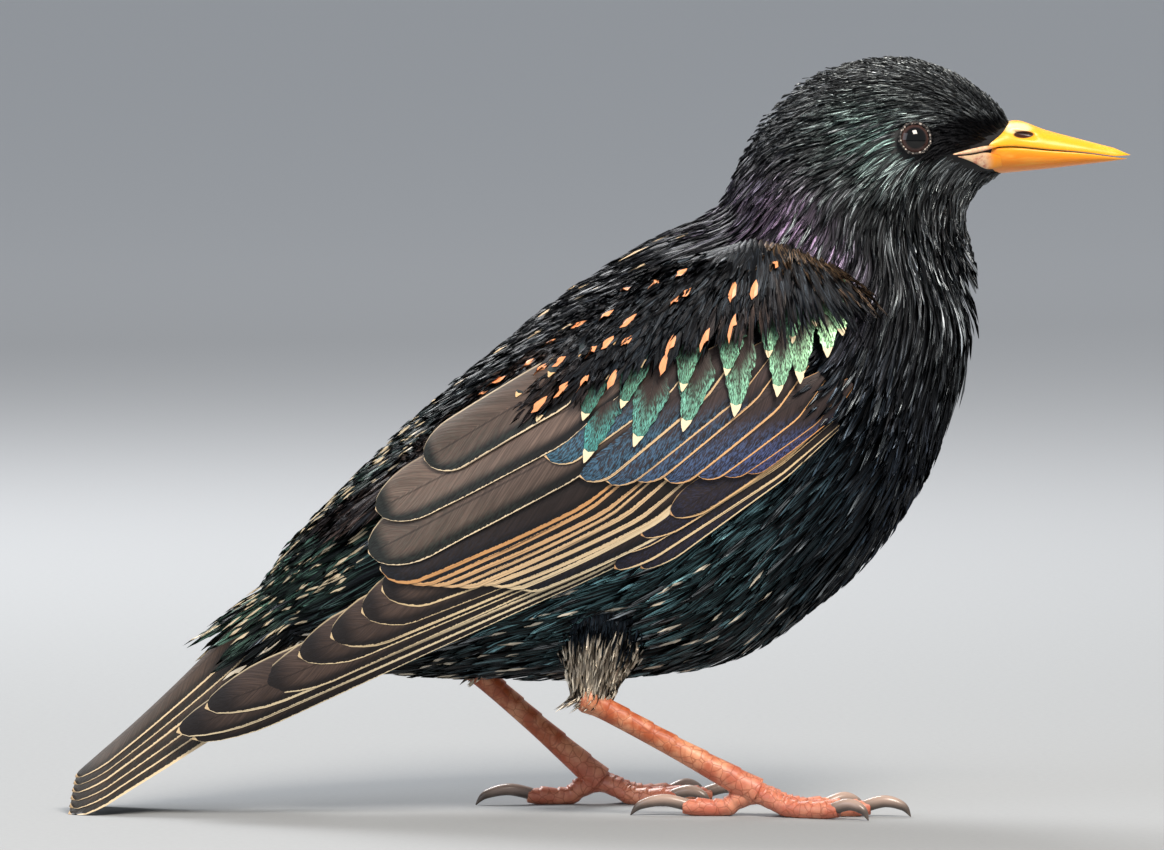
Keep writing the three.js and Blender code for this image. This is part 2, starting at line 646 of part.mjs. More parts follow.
// Wings
function wing(side) {
  const arm = [
    vane(bed, { root: [-9, 3], tip: [68, 6], side, half: 15, height: 0.9, depth: 4, bow: 1 }),
    vane(bed, { root: [40, 6], tip: [108, 11], side, half: 6.5, height: 0.5, depth: 3 }),
  ];
  const primaries = tract(
    bed, 8,
    { root: [34, -6], tip: [82, 11.5], half: 4.6, bow: -3.6 },
    { root: [26, -10.5], tip: [123.5, 13.6], half: 3.4, bow: -5.2 },
    { side, height: 1.3, tilt: 0.4, depth: 3 },
  );
  const secondaries = tract(
    bed, 5,
    { root: [32, 4], tip: [79.6, 15.2], half: 4.6, bow: -2 },
    { root: [26, -5], tip: [70.5, 5.5], half: 4.6, bow: -3 },
    { side, height: 1.8, tilt: 0.5, depth: 3 },
  );
  const tertials = tract(
    bed, 3,
    { root: [34, 20], tip: [62.5, 22], half: 5.2 },
    { root: [34, 9], tip: [80, 17.5], half: 5.2 },
    { side, height: 2.5, tilt: 0.6, depth: 3 },
  );
  const greater = tract(
    bed, 8,
    { root: [20, 13], tip: [47, 11], half: 4.4, bow: 0.5 },
    { root: [1, -3], tip: [17, -11.5], half: 3.2, bow: -0.5 },
    { side, height: 2.7, tilt: 0.5, depth: 3 },
  );
  const median = tract(
    bed, 8,
    { root: [26, 19], tip: [43, 9.4], half: 3.4 },
    { root: [-7, 6], tip: [1, -2], half: 2.6 },
    { side, height: 3.4, tilt: 0.3, depth: 3.4, outline: "lance" },
  );
  const scapulars = tract(
    bed, 6,
    { root: [36, 27], tip: [57, 23.5], half: 4.4 },
    { root: [0, 15], tip: [18, 8], half: 4.0 },
    { side, height: 3.0, tilt: 0.3, depth: 3.4 },
  );
  const all = [...arm, ...primaries, ...secondaries, ...tertials, ...greater, ...scapulars, ...median];
  const beneath = join([wholeGrown, bed.solid(-BED_DEPTH, 16, 0.5), tailRoom(GAP), thighRoom[side]]);
  return join(all).subtract(beneath);
}
add("wing_right", wing(RIGHT), COLOURS.wing);
add("wing_left", wing(LEFT), COLOURS.wing);

// The frame's origin is the middle of the box round the whole bird, on the floor
const box = new THREE.Box3().setFromObject(root);
const middle = box.getCenter(v3(0, 0, 0));
root.children.forEach((mesh) => mesh.geometry.translate(-middle.x, -middle.y, 0));

export default root;
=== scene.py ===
import math
from functools import partial

import bmesh
import bpy
import numpy as np
from mathutils import Matrix, Vector


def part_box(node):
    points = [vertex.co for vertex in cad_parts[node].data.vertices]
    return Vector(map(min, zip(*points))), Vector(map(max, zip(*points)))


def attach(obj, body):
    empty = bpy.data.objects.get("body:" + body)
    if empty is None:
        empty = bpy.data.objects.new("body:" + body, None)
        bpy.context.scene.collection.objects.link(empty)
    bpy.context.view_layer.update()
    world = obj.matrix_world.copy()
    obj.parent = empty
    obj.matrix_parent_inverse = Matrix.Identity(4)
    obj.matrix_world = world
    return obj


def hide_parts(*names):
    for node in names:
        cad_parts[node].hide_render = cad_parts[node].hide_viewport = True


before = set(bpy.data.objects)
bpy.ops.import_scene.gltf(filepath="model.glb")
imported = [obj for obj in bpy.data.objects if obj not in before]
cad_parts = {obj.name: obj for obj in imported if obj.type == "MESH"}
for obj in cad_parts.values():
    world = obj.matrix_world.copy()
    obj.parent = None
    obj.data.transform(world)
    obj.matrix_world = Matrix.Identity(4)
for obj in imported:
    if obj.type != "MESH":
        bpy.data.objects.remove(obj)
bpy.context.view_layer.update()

# The skin. A bird's skin is thin and loose over the muscle, and every feather is rooted in it; here it is
# painted near black as the shade between the feathers.
# Here it is one closed surface through the same sections as the trunk, neck and head, drawn in by
# the depth of the coat.
PITCH = math.radians(38)
SHOULDER_X, SHOULDER_Z = 43.9, 78.4
BILL_TIP_X = 92.7
MIDDLE_X = BILL_TIP_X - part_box("bill_upper")[1][0] * 1000
BACKWARD = np.array([-math.cos(PITCH), 0, -math.sin(PITCH)])
FULLNESS = 0.93

# in millimetres from the shoulder: along the body's axis, top, low, half width, lean
TRUNK = [
    (99, 24.0, 10.0, 6.5, 0), (90, 26.8, -1.0, 12.5, 0.05), (76, 28.8, -12.5, 17.5, 0.1),
    (62, 30.2, -23.5, 21.5, 0.12), (46, 31.0, -32.4, 24.8, 0.12), (30, 31.0, -34.2, 26.3, 0.1),
    (14, 29.3, -32.6, 26.0, 0.08),
]
# in millimetres in the side plane: crown side x and z, throat side x and z, half width, lean
FORE = [
    (25.2, 98.0, 60.6, 57.2, 24.6, 0.04), (28.4, 103.6, 65.8, 74.5, 21.6, 0),
    (31.0, 108.5, 64.4, 86.0, 18.0, 0), (35.0, 113.7, 64.2, 92.6, 15.4, 0),
    (41.0, 119.0, 65.6, 97.6, 13.6, 0), (48.8, 122.0, 67.4, 100.6, 12.2, 0),
    (56.1, 122.5, 69.0, 102.2, 10.8, 0), (62.6, 120.8, 70.3, 102.9, 9.0, 0),
    (68.0, 117.6, 71.3, 103.4, 7.0, 0), (71.6, 114.3, 72.1, 103.8, 5.4, 0),
    (73.2, 112.4, 72.6, 104.3, 4.2, 0),
]


def side_point(along, up):
    """The x and z of a place along the body's axis and above it"""
    x = SHOULDER_X - np.asarray(along) * math.cos(PITCH) - np.asarray(up) * math.sin(PITCH)
    z = SHOULDER_Z - np.asarray(along) * math.sin(PITCH) + np.asarray(up) * math.cos(PITCH)
    return x, z


def trunk_section(along, top, low, half, lean):
    return (*side_point(along, top), *side_point(along, low), half, lean)


def curve_through(values, t):
    """Smooth curve through evenly spaced values"""
    last = len(values) - 1
    i = np.clip(np.floor(t), 0, last - 1).astype(int)
    f = np.clip(t - i, 0, 1)
    here, there = values[i], values[i + 1]
    bend = (there - values[np.maximum(i - 1, 0)]) / 2
    following = (values[np.minimum(i + 2, last)] - here) / 2
    rise = there - here
    return here + f * bend + f**2 * (3 * rise - 2 * bend - following) + f**3 * (bend + following - 2 * rise)


def fuller(v, power=FULLNESS):
    return np.sign(v) * np.abs(v) ** power


class Form:
    """A smooth form through sections, read at a section t and a turn round it that starts at the top"""

    def __init__(self, sections):
        self.rows = np.array(sections, float).T
        self.last = len(sections) - 1

    def section(self, t):
        return [curve_through(row, t) for row in self.rows]

    def point(self, t, turn):
        top_x, top_z, low_x, low_z, half, lean = self.section(t)
        c = fuller(np.cos(turn))
        up = c + lean * (1 - c * c)
        x = (top_x + low_x) / 2 + (top_x - low_x) / 2 * up
        z = (top_z + low_z) / 2 + (top_z - low_z) / 2 * up
        return np.stack([x, half * fuller(np.sin(turn)), z], -1)

    def normal(self, t, turn):
        step = 2e-3
        t = np.clip(t, 2 * step, self.last - 2 * step)
        ahead = self.point(t + step, turn) - self.point(t - step, turn)
        around = self.point(t, turn + step) - self.point(t, turn - step)
        out = np.cross(ahead, around)
        out /= np.linalg.norm(out, axis=-1, keepdims=True) + 1e-12
        away = self.point(t, turn) - (self.point(t, turn * 0) + self.point(t, turn * 0 + math.pi)) / 2
        return out * np.sign((out * away).sum(-1, keepdims=True) + 1e-12)

    def over(self, t, turn, height):
        return self.point(t, turn) + self.normal(t, turn) * np.asarray(height)[..., None]

    def locate(self, x, z):
        """The section whose plane holds a point of the side plane, and how high in it the point is"""
        def beside(t):
            top_x, top_z, low_x, low_z, _, _ = self.section(t)
            return (low_x - top_x) * (z - top_z) - (low_z - top_z) * (x - top_x)
        low = np.zeros(np.shape(x))
        high = low + self.last
        first = np.sign(beside(low))
        for _ in range(26):
            mid = (low + high) / 2
            same = np.sign(beside(mid)) == first
            low, high = np.where(same, mid, low), np.where(same, high, mid)
        t = (low + high) / 2
        top_x, top_z, low_x, low_z, half, lean = self.section(t)
        rise_x, rise_z = (top_x - low_x) / 2, (top_z - low_z) / 2
        up = (x - (top_x + low_x) / 2) * rise_x + (z - (top_z + low_z) / 2) * rise_z
        up = up / (rise_x**2 + rise_z**2)
        leaning = np.where(np.abs(lean) < 1e-6, 1e-6, lean)
        c = (1 - np.sqrt(np.maximum(1 - 4 * leaning * (up - leaning), 0))) / (2 * leaning)
        return t, np.clip(c, -0.999, 0.999), half

    def lift(self, x, z, side, height):
        t, c, _ = self.locate(x, z)
        return self.over(t, side * np.arccos(fuller(c, 1 / FULLNESS)), height)

    def project(self, p, height):
        t, c, half = self.locate(p[..., 0], p[..., 2])
        turn = np.arctan2(fuller(p[..., 1] / half, 1 / FULLNESS), fuller(c, 1 / FULLNESS))
        return self.over(t, turn, height), self.normal(t, turn)


body = Form([trunk_section(*s) for s in TRUNK] + FORE)


def in_frame(points):
    """Millimetres from the bird's own measuring point to metres in the part's frame"""
    return (np.asarray(points) - [MIDDLE_X, 0, 0]) / 1000


def linear(hex_value, alpha=1.0):
    """An sRGB hex value as linear red, green, blue and alpha"""
    parts = [int(hex_value[i:i + 2], 16) / 255 for i in (1, 3, 5)]
    return [c / 12.92 if c <= 0.04045 else ((c + 0.055) / 1.055) ** 2.4 for c in parts] + [alpha]


def add_node(tree, kind, settings, inputs, out=0):
    """Adds a shader node with its settings, each input a value, a hex colour or a socket to link, and
    gives one output"""
    node = tree.nodes.new("ShaderNode" + kind)
    for key, value in settings.items():
        setattr(node, key, value)
    for key, value in inputs.items():
        if isinstance(value, bpy.types.NodeSocket):
            tree.links.new(value, node.inputs[key])
        else:
            node.inputs[key].default_value = linear(value) if isinstance(value, str) else value
    return node.outputs[out]


def new_finish(name, **shader):
    """A material, a function that adds nodes to it and one that links sockets to its shader's inputs"""
    material = bpy.data.materials.new(name)
    material.use_nodes = True
    tree = material.node_tree
    principled = tree.nodes["Principled BSDF"]
    for key, value in shader.items():
        principled.inputs[key.replace("_", " ")].default_value = value

    def connect(**sockets):
        for key, socket in sockets.items():
            tree.links.new(socket, principled.inputs[key.replace("_", " ")])
    return material, partial(add_node, tree), connect


def finished(bm, name, material):
    """Makes a bmesh one smooth piece of the bird"""
    mesh = bpy.data.meshes.new(name)
    bm.to_mesh(mesh)
    bm.free()
    mesh.polygons.foreach_set("use_smooth", [True] * len(mesh.polygons))
    mesh.materials.append(material)
    piece = bpy.data.objects.new(name, mesh)
    bpy.context.collection.objects.link(piece)
    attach(piece, "root")
    return piece


def edge_loop(bm, ring):
    """A closed loop of edges through a ring of points"""
    corners = [bm.verts.new(p) for p in in_frame(ring)]
    return [bm.edges.new((corners[k - 1], corners[k])) for k in range(len(corners))]


def bridged(rings, name, material):
    """One closed mesh through rings of points, each ring joined to the next and the ends filled"""
    bm = bmesh.new()
    loops = [edge_loop(bm, ring) for ring in rings]
    for ahead, behind in zip(loops, loops[1:]):
        bmesh.ops.bridge_loops(bm, edges=ahead + behind)
    for end in (loops[0], loops[-1]):
        bmesh.ops.holes_fill(bm, edges=end, sides=0)
    bmesh.ops.recalc_face_normals(bm, faces=bm.faces)
    return finished(bm, name, material)


# section, then how far the skin lies under the tips of the coat, in millimetres
COAT_DEPTH = ([0, 6, 9, 12, 15, 17], [2.0, 1.9, 1.5, 0.9, 0.5, 0.25])


def coat_depth(t):
    return np.interp(t, *COAT_DEPTH)


# Bird skin: thin and dull, painted slate black to stand for the shade between the feathers, the only place it
# is seen
MIX, STEP = {"data_type": "RGBA"}, {"interpolation_type": "SMOOTHSTEP"}
skin_finish, add, connect = new_finish("bird_skin", Roughness=0.7)
spread = add("TexNoise", {}, {"Vector": add("TexCoord", {}, {}, 3), "Scale": 700.0})
connect(Base_Color=add("Mix", MIX, {0: spread, 6: "#08090b", 7: "#141518"}, 2))
skin_turns = np.linspace(0, 2 * math.pi, 64, endpoint=False)
skin = bridged([body.over(t, skin_turns, -coat_depth(t)) for t in np.linspace(0.05, body.last - 0.02, 90)],
               "skin", skin_finish)
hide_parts("torso", "neck", "head")

# The small feathers of the body. Each real one is a soft vane a few millimetres to a centimetre long,
# rooted in the skin and laid over the next, so a row of tips is all that shows. They are solid blades
# laid along the form, from hair-fine ones on the face to broad ones on the back and belly.
# the share of a turn from one root to the next that spreads roots most evenly
GOLDEN = 0.6180339887
# the side of each blade's patch on the unwrapped skin
PATCH = 0.003
# how thick a small feather's blade is, in millimetres, and how much it is arched for its half width
BLADE_THICKNESS, CAMBER = 0.1, 0.16
chance = np.random.default_rng(11)


def blade_mesh(name, top, under, normal, vane, root, marks, material):
    """One mesh of many closed blades. top is feather, row, column; under is one line below each blade.
    root is each blade's place on the unwrapped skin, marks are its colours."""
    count, rows, cols = top.shape[:3]
    loop = cols + 1
    points = np.concatenate([top, under[:, :, None]], 2)
    normals = np.concatenate([normal, -normal[:, :, cols // 2][:, :, None]], 2)
    first = (np.arange(count) * rows * loop)[:, None, None]
    r = (np.arange(rows - 1) * loop)[None, :, None]
    k = np.arange(loop)[None, None, :]
    following = (k + 1) % loop
    quads = np.stack([first + r + k, first + r + loop + k, first + r + loop + following,
                      first + r + following], -1).reshape(-1, 4)
    ends = np.concatenate([first[:, 0] + k[0], first[:, 0] + (rows - 1) * loop + k[0][:, ::-1]])
    mesh = bpy.data.meshes.new(name)
    mesh.vertices.add(points.size // 3)
    mesh.vertices.foreach_set("co", in_frame(points).ravel())
    corners = np.concatenate([quads.ravel(), ends.ravel()])
    mesh.loops.add(len(corners))
    mesh.loops.foreach_set("vertex_index", corners)
    starts = np.concatenate([np.arange(len(quads)) * 4, quads.size + np.arange(len(ends)) * loop])
    mesh.polygons.add(len(starts))
    mesh.polygons.foreach_set("loop_start", starts)
    mesh.update(calc_edges=True)
    mesh.polygons.foreach_set("use_smooth", np.ones(len(starts), bool))
    across = np.concatenate([vane[..., 0], np.full(vane.shape[:2] + (1,), 0.5)], 2)
    length = np.concatenate([vane[..., 1], vane[:, :, :1, 1]], 2)
    place = np.stack([across, length], -1).reshape(-1, 2)
    mesh.uv_layers.new(name="vane").data.foreach_set("uv", place[corners].ravel())
    patch = (root[:, None] + PATCH * (place.reshape(count, -1, 2) - 0.5)).reshape(-1, 2)
    mesh.uv_layers.new(name="OFBake").data.foreach_set("uv", patch[corners].ravel())
    for key, values in marks.items():
        spread = np.repeat(values, rows * loop, axis=0)
        kind, field = ("FLOAT_COLOR", "color") if values.ndim > 1 else ("FLOAT", "value")
        mesh.attributes.new(key, kind, "POINT").data.foreach_set(field, spread.ravel())
    mesh.normals_split_custom_set_from_vertices(normals.reshape(-1, 3))
    piece = bpy.data.objects.new(name, mesh)
    bpy.context.collection.objects.link(piece)
    mesh.materials.append(material)
    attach(piece, "root")
    return piece


def surface_normals(top, out):
    """Normals of blades from their own grid of points, turned to the side that out is on"""
    along = np.gradient(top, axis=1)
    across = np.gradient(top, axis=2)
    n = np.cross(along, across)
    length = np.linalg.norm(n, axis=-1, keepdims=True)
    n = np.where(length > 1e-9, n / (length + 1e-12), out)
    return n * np.sign((n * out).sum(-1, keepdims=True) + 1e-12)


def faced(top, under, out, across, along):
    """Blades with their normals and a map of each from side to side and from root to tip. Their columns run
    in the order that turns their faces outwards."""
    vane = np.stack(np.broadcast_arrays(across, along, top[..., 0])[:2], -1)
    if (np.cross(np.gradient(top, axis=1), np.gradient(top, axis=2)) * out).sum() < 0:
        top, out, vane = (values[:, :, ::-1] for values in (top, out, vane))
    return top, under, surface_normals(top, out), vane


def outline(s, sharp):
    """Half width of a body feather along its length, from rounded (0) to needle sharp (1)"""
    opening = np.minimum(1, 0.35 + 2.2 * s)
    blunt = np.sqrt(np.clip(1 - s**4.5, 0.0006, 1))
    needle = np.clip(1 - s, 0.012, 1) ** 0.75
    return opening * (blunt * (1 - sharp) + needle * sharp)


def lay_plumes(form, t, turn, length, half, low, high, sharp, rows, cols, swing=None, wild=0.12):
    """Blades on a form, rooted at section t and turn, that lie back from the head. low and high are the
    heights of root and tip, swing turns each blade sideways and wild makes its tip ragged."""
    count = len(t)
    s = (1 - (1 - np.linspace(0, 1, rows)) ** 1.25)[None, :, None]
    u = np.linspace(-1, 1, cols)[None, None, :]
    ragged = 1 + wild * chance.uniform(-1, 0.6, (count, 1, cols)) * s**3
    angle = chance.normal(0, 0.09, count) if swing is None else swing
    t, turn, length, half, low, high, sharp, angle = (
        values[:, None, None] for values in (t, turn, length, half, low, high, sharp, angle))
    wide = outline(s, sharp) * half
    reach = length * s * ragged
    sideways = u * wide
    x = reach * np.cos(angle) - sideways * np.sin(angle)
    y = reach * np.sin(angle) + sideways * np.cos(angle)
    # millimetres to a section and to a radian at each root
    step = 1e-2
    inner = np.clip(t, 2 * step, form.last - 2 * step)
    gaps = (form.point(inner + step, turn) - form.point(inner - step, turn),
            form.point(inner, turn + step) - form.point(inner, turn - step))
    per_t, per_turn = (np.linalg.norm(gap, axis=-1) / (2 * step) for gap in gaps)
    # past the form's tail end a blade runs straight back
    wanted = t - x / np.maximum(per_t, 0.5)
    there = np.clip(wanted, 0.02, form.last)
    beyond = np.maximum(there - wanted, 0) * per_t
    around = turn + y / np.maximum(per_turn, 2.0)
    base = form.point(there, around) + BACKWARD * beyond[..., None]
    out = form.normal(there, around)
    rise = low + (high - low) * s**1.3
    camber = CAMBER * wide * (1 - u**2)
    top = base + out * (rise + camber)[..., None]
    mid = cols // 2
    depth = rise[..., 0] - BLADE_THICKNESS - 0.25 * camber[:, :, mid]
    under = base[:, :, mid] + out[:, :, mid] * depth[..., None]
    return faced(top, under, out, (u + 1) / 2, s)


# Sizes by section, on the back and on the breast: spacing, length, half width
SIZES_AT = [0, 3, 6, 7.5, 9, 10.5, 12, 13.5, 15, 16, 17]
SPACING = ([1.6, 1.55, 1.45, 1.25, 1.05, 0.78, 0.56, 0.5, 0.47, 0.44, 0.4],
           [2.2, 2.1, 1.7, 1.3, 1.05, 0.85, 0.58, 0.47, 0.42, 0.4, 0.38])
LENGTH = ([15, 13, 11.5, 10.5, 8.5, 6.4, 4.8, 4.0, 3.0, 2.0, 1.2],
          [14, 14.5, 13.5, 13, 12, 9.5, 5.6, 2.9, 2.0, 1.5, 1.1])
HALF = ([1.0, 0.95, 0.85, 0.8, 0.58, 0.38, 0.27, 0.23, 0.21, 0.19, 0.17],
        [1.6, 1.35, 1.0, 0.78, 0.58, 0.44, 0.31, 0.23, 0.2, 0.18, 0.17])
SHARPNESS = ([0.45, 0.5, 0.6, 0.75, 0.9, 0.95, 0.95, 0.9, 0.8, 0.7, 0.6],
             [0.4, 0.5, 0.7, 0.85, 1.0, 1.0, 0.95, 0.8, 0.7, 0.6, 0.6])


def by_place(table, t, turn):
    share = (1 + np.cos(turn)) / 2
    return np.interp(t, SIZES_AT, table[0]) * share + np.interp(t, SIZES_AT, table[1]) * (1 - share)


def scatter(form, start, end, spacing):
    """Roots spread evenly over a form between two sections, as close as spacing says there"""
    ts = np.linspace(start, end, 260)
    turns = np.linspace(-math.pi, math.pi, 241)
    grid_t, grid_turn = np.meshgrid(ts, turns, indexing="ij")
    p = form.point(grid_t, grid_turn)
    area = np.linalg.norm(np.cross(np.gradient(p, axis=0), np.gradient(p, axis=1)), axis=-1)
    density = area / spacing(grid_t, grid_turn) ** 2
    rows = np.concatenate([[0], np.cumsum((density[1:] + density[:-1]).sum(1) / 2)])
    count = int(rows[-1])
    t = np.interp(np.arange(count) + 0.5, rows, ts)
    phase = (np.arange(count) * GOLDEN) % 1
    turn = np.empty(count)
    at = np.clip(np.searchsorted(ts, t), 0, len(ts) - 1)
    for i in np.unique(at):
        ring = np.concatenate([[0], np.cumsum((density[i, 1:] + density[i, :-1]) / 2)])
        chosen = at == i
        turn[chosen] = np.interp(phase[chosen] * ring[-1], ring, turns)
    return t, turn


def along_and_up(p):
    """A point's place along the body's axis and above it"""
    dx, dz = SHOULDER_X - p[..., 0], SHOULDER_Z - p[..., 2]
    return dx * math.cos(PITCH) + dz * math.sin(PITCH), dx * math.sin(PITCH) - dz * math.cos(PITCH)


root_t, root_turn = scatter(body, 0.1, 16.95, lambda t, turn: by_place(SPACING, t, turn))
at_root = body.point(root_t, root_turn)
root_x, root_z = at_root[:, 0], at_root[:, 2]
root_along, root_up = along_and_up(at_root)
# millimetres: the middle of each eye, its ball, how deep it sits and the lid's opening
EYE = {"x": 57.4, "z": 110.0, "ball": 3.3, "sunk": 2.45, "lid": 2.5}
# nothing grows under the folded wing or over the eye
under_wing = ((root_up < np.interp(root_along, [2, 20, 50, 70, 84], [9, 17, 19, 16, 12]))
              & (root_up > np.interp(root_along, [2, 15, 40, 65, 84], [-2, -6, -2, 4, 9]))
              & (root_along > 6) & (root_along < 84))
on_eye = ((np.hypot(root_x - EYE["x"], root_z - EYE["z"]) < EYE["lid"] + 0.35)
          | (np.hypot(root_x - EYE["x"] - 1.7, root_z - EYE["z"]) < 3.0))
# the bare edge of the mouth and bill, below a line that rises from the mouth's corner to the forehead
on_bill = ((root_z < np.interp(root_x, [63.3, 68.5, 72.2, 73.5], [107.3, 109.0, 110.9, 112.6]))
           & (root_z > np.interp(root_x, [63.3, 66, 68.5, 73], [106.9, 105.2, 103.9, 103.9]))
           & (root_x > 63.3))
grown = ~(under_wing | on_eye | on_bill)
root_t, root_turn, root_x, root_z, root_along, root_up = (
    values[grown] for values in (root_t, root_turn, root_x, root_z, root_along, root_up))


def plain(count, colour, alpha=1.0):
    """The same colour for each of many feathers"""
    return np.tile(linear(colour, alpha), (count, 1))


def shade(values, weight, colour):
    """Moves colours towards another by a weight from 0 to 1"""
    weight = np.clip(weight, 0, 1)[:, None]
    return values * (1 - weight) + np.array(linear(colour)) * weight


def near(value, middle, width):
    return np.exp(-(((value - middle) / width) ** 2))


def thinned(chosen, along, up, apart):
    """Of the chosen feathers keeps only some, each at least apart from the others"""
    kept = []
    for i in chance.permutation(np.flatnonzero(chosen)):
        if all(math.hypot(along[i] - along[j], up[i] - up[j]) > apart for j in kept):
            kept.append(i)
    return np.isin(np.arange(len(along)), kept)


count = len(root_t)
topness = np.cos(root_turn)
# what gleams off the barbs: silver on the crown, green silver on the cheek, violet at the neck's side,
# steel on the throat, blue on the breast, teal on the flank, bottle green on the rump
gleam = plain(count, "#3a3d42")
gleam = shade(gleam, near(root_t, 14.0, 2.8) * 0.95, "#a4aaac")
gleam = shade(gleam, near(root_t, 11.6, 1.0) * np.clip(0.7 - np.abs(topness - 0.1), 0, 0.8), "#79a099")
gleam = shade(gleam, near(root_t, 8.7, 0.7) * np.clip(0.8 - np.abs(topness - 0.45), 0, 0.75), "#8a7396")
gleam = shade(gleam, near(root_t, 10.4, 1.5) * np.clip(-topness * 1.6, 0, 0.9), "#878d92")
gleam = shade(gleam, near(root_t, 6.6, 1.4) * np.clip(0.5 - topness, 0, 0.7), "#262e44")
gleam = shade(gleam, near(root_t, 4.2, 1.8) * np.clip(1.3 - np.abs(topness + 0.3) * 1.6, 0, 0.95), "#7fb3bb")
gleam = shade(gleam, near(root_t, 1.0, 2.2) * np.clip(topness + 0.3, 0, 0.8), "#476b58")
# most feathers are dull, and a few are painted brighter as glints where they would catch the light
glint = chance.uniform(0, 1, count) ** 2
gleam[:, :3] *= (0.22 + 2.1 * glint * np.interp(root_t, [0, 6, 9, 11, 17], [1, 0.7, 1, 1.4, 1.5]))[:, None]
# painted silver glints on a few feathers of the sides and underside
silver_glint = chance.uniform(0, 1, count) < np.interp(root_t, [1, 4, 8, 11], [0.04, 0.1, 0.08, 0.12])
gleam[silver_glint & (topness < 0.5), :3] = linear("#8f979c")[:3]
# the feathers between bill and eye are velvet black
lores = ((root_x > 60.4) & (root_z > 107.6)
         & (root_z < np.interp(root_x, [60, 66, 73], [111.4, 112.4, 112.4])))
gleam[lores, :3] = linear("#0b0b0d")[:3]
ground = shade(plain(count, "#0b0c10"), near(root_t, 2, 3) * np.clip(-topness, 0, 0.5), "#171412")
# pale tips: orange buff on the mantle, whiter towards the back's ridge, buff dashes on the rump, a few
# whitish ones on the belly
mantle = (root_along > -4) & (root_along < 50) & (root_up > 6) & (topness > 0.1)
rump = (root_along >= 50) & (topness > 0)
belly = (topness < -0.2) & (root_t < 5.6)
# the left side is set apart from the right one, so that spots are thinned on each by itself
APART = 40
beside = root_up + APART * (root_turn > 0)
draw = chance.uniform(0, 1, count)
spot = np.zeros((count, 4))
for marked, colour in ((mantle, "#dd965a"), (mantle & (topness > 0.8), "#cfb795"), (rump, "#b9a98c"),
                       (belly, "#c2b8a6")):
    spot[marked, :3] = linear(colour)[:3]
spot[thinned(mantle, root_along, beside, 4.3), 3] = 0.21
spot[rump & (draw < 0.34), 3] = 0.16
spot[thinned(belly, root_along, root_turn * 14, 3.3), 3] = 0.19

# Feather vane: keratin barbs, black with pigment, that gleam like dull metal because thin layers in
# them reflect one colour. The streaks are the barbs, drawn coarser than the real 0.05 mm so they show.
plume_finish, add, connect = new_finish("black_plumage", Roughness=0.4, Metallic=0.85)
TIMES, PLUS, LESS, SIZE, BELOW, MOST, TIMES_PLUS = (
    {"operation": name}
    for name in ("MULTIPLY", "ADD", "SUBTRACT", "ABSOLUTE", "LESS_THAN", "MAXIMUM", "MULTIPLY_ADD"))
across = add("SeparateXYZ", {}, {0: add("UVMap", {"uv_map": "vane"}, {})})
along = across.node.outputs[1]
own = add("Attribute", {"attribute_name": "chance"}, {}, 2)
ground_colour, gleam_colour, pale = (
    add("Attribute", {"attribute_name": key}, {}) for key in ("ground", "gleam", "spot"))
place = add("CombineXYZ", {}, {k: add("Math", TIMES, {0: part, 1: size}) for k, (part, size)
                               in enumerate(((across, 8.0), (along, 1.3), (own, 37.0)))})
barbs = add("TexNoise", {}, {"Vector": place, "Scale": 1.0, "Detail": 3.0, "Roughness": 0.65})
streak = add("MapRange", STEP, {0: barbs, 1: 0.47, 2: 0.62})
dark = add("Mix", MIX, {0: streak, 6: ground_colour, 7: gleam_colour}, 2)
# the pale tip is a chevron, longest along the shaft
aside = add("Math", SIZE, {0: add("Math", TIMES_PLUS, {0: across, 1: 2.0, 2: -1.0})})
reach = add("Math", TIMES, {0: pale.node.outputs[3], 1: add("Math", LESS, {0: 1.3, 1: aside})})
marked = add("Math", BELOW, {0: add("Math", LESS, {0: 1.0, 1: along}), 1: reach})
metal = add("Math", TIMES, {0: add("Math", LESS, {0: 1.0, 1: marked}), 1: 0.85})
connect(Base_Color=add("Mix", MIX, {0: marked, 6: dark, 7: pale}, 2), Metallic=metal,
        Normal=add("Bump", {}, {"Strength": 0.6, "Distance": 0.00012, "Height": barbs}))


def unwrapped(turn, level, spread=0.94):
    """The root of each blade on the unwrapped skin, from its turn round the form and its level"""
    return np.stack([0.03 + spread * (turn / (2 * math.pi) + 0.5), level], -1)


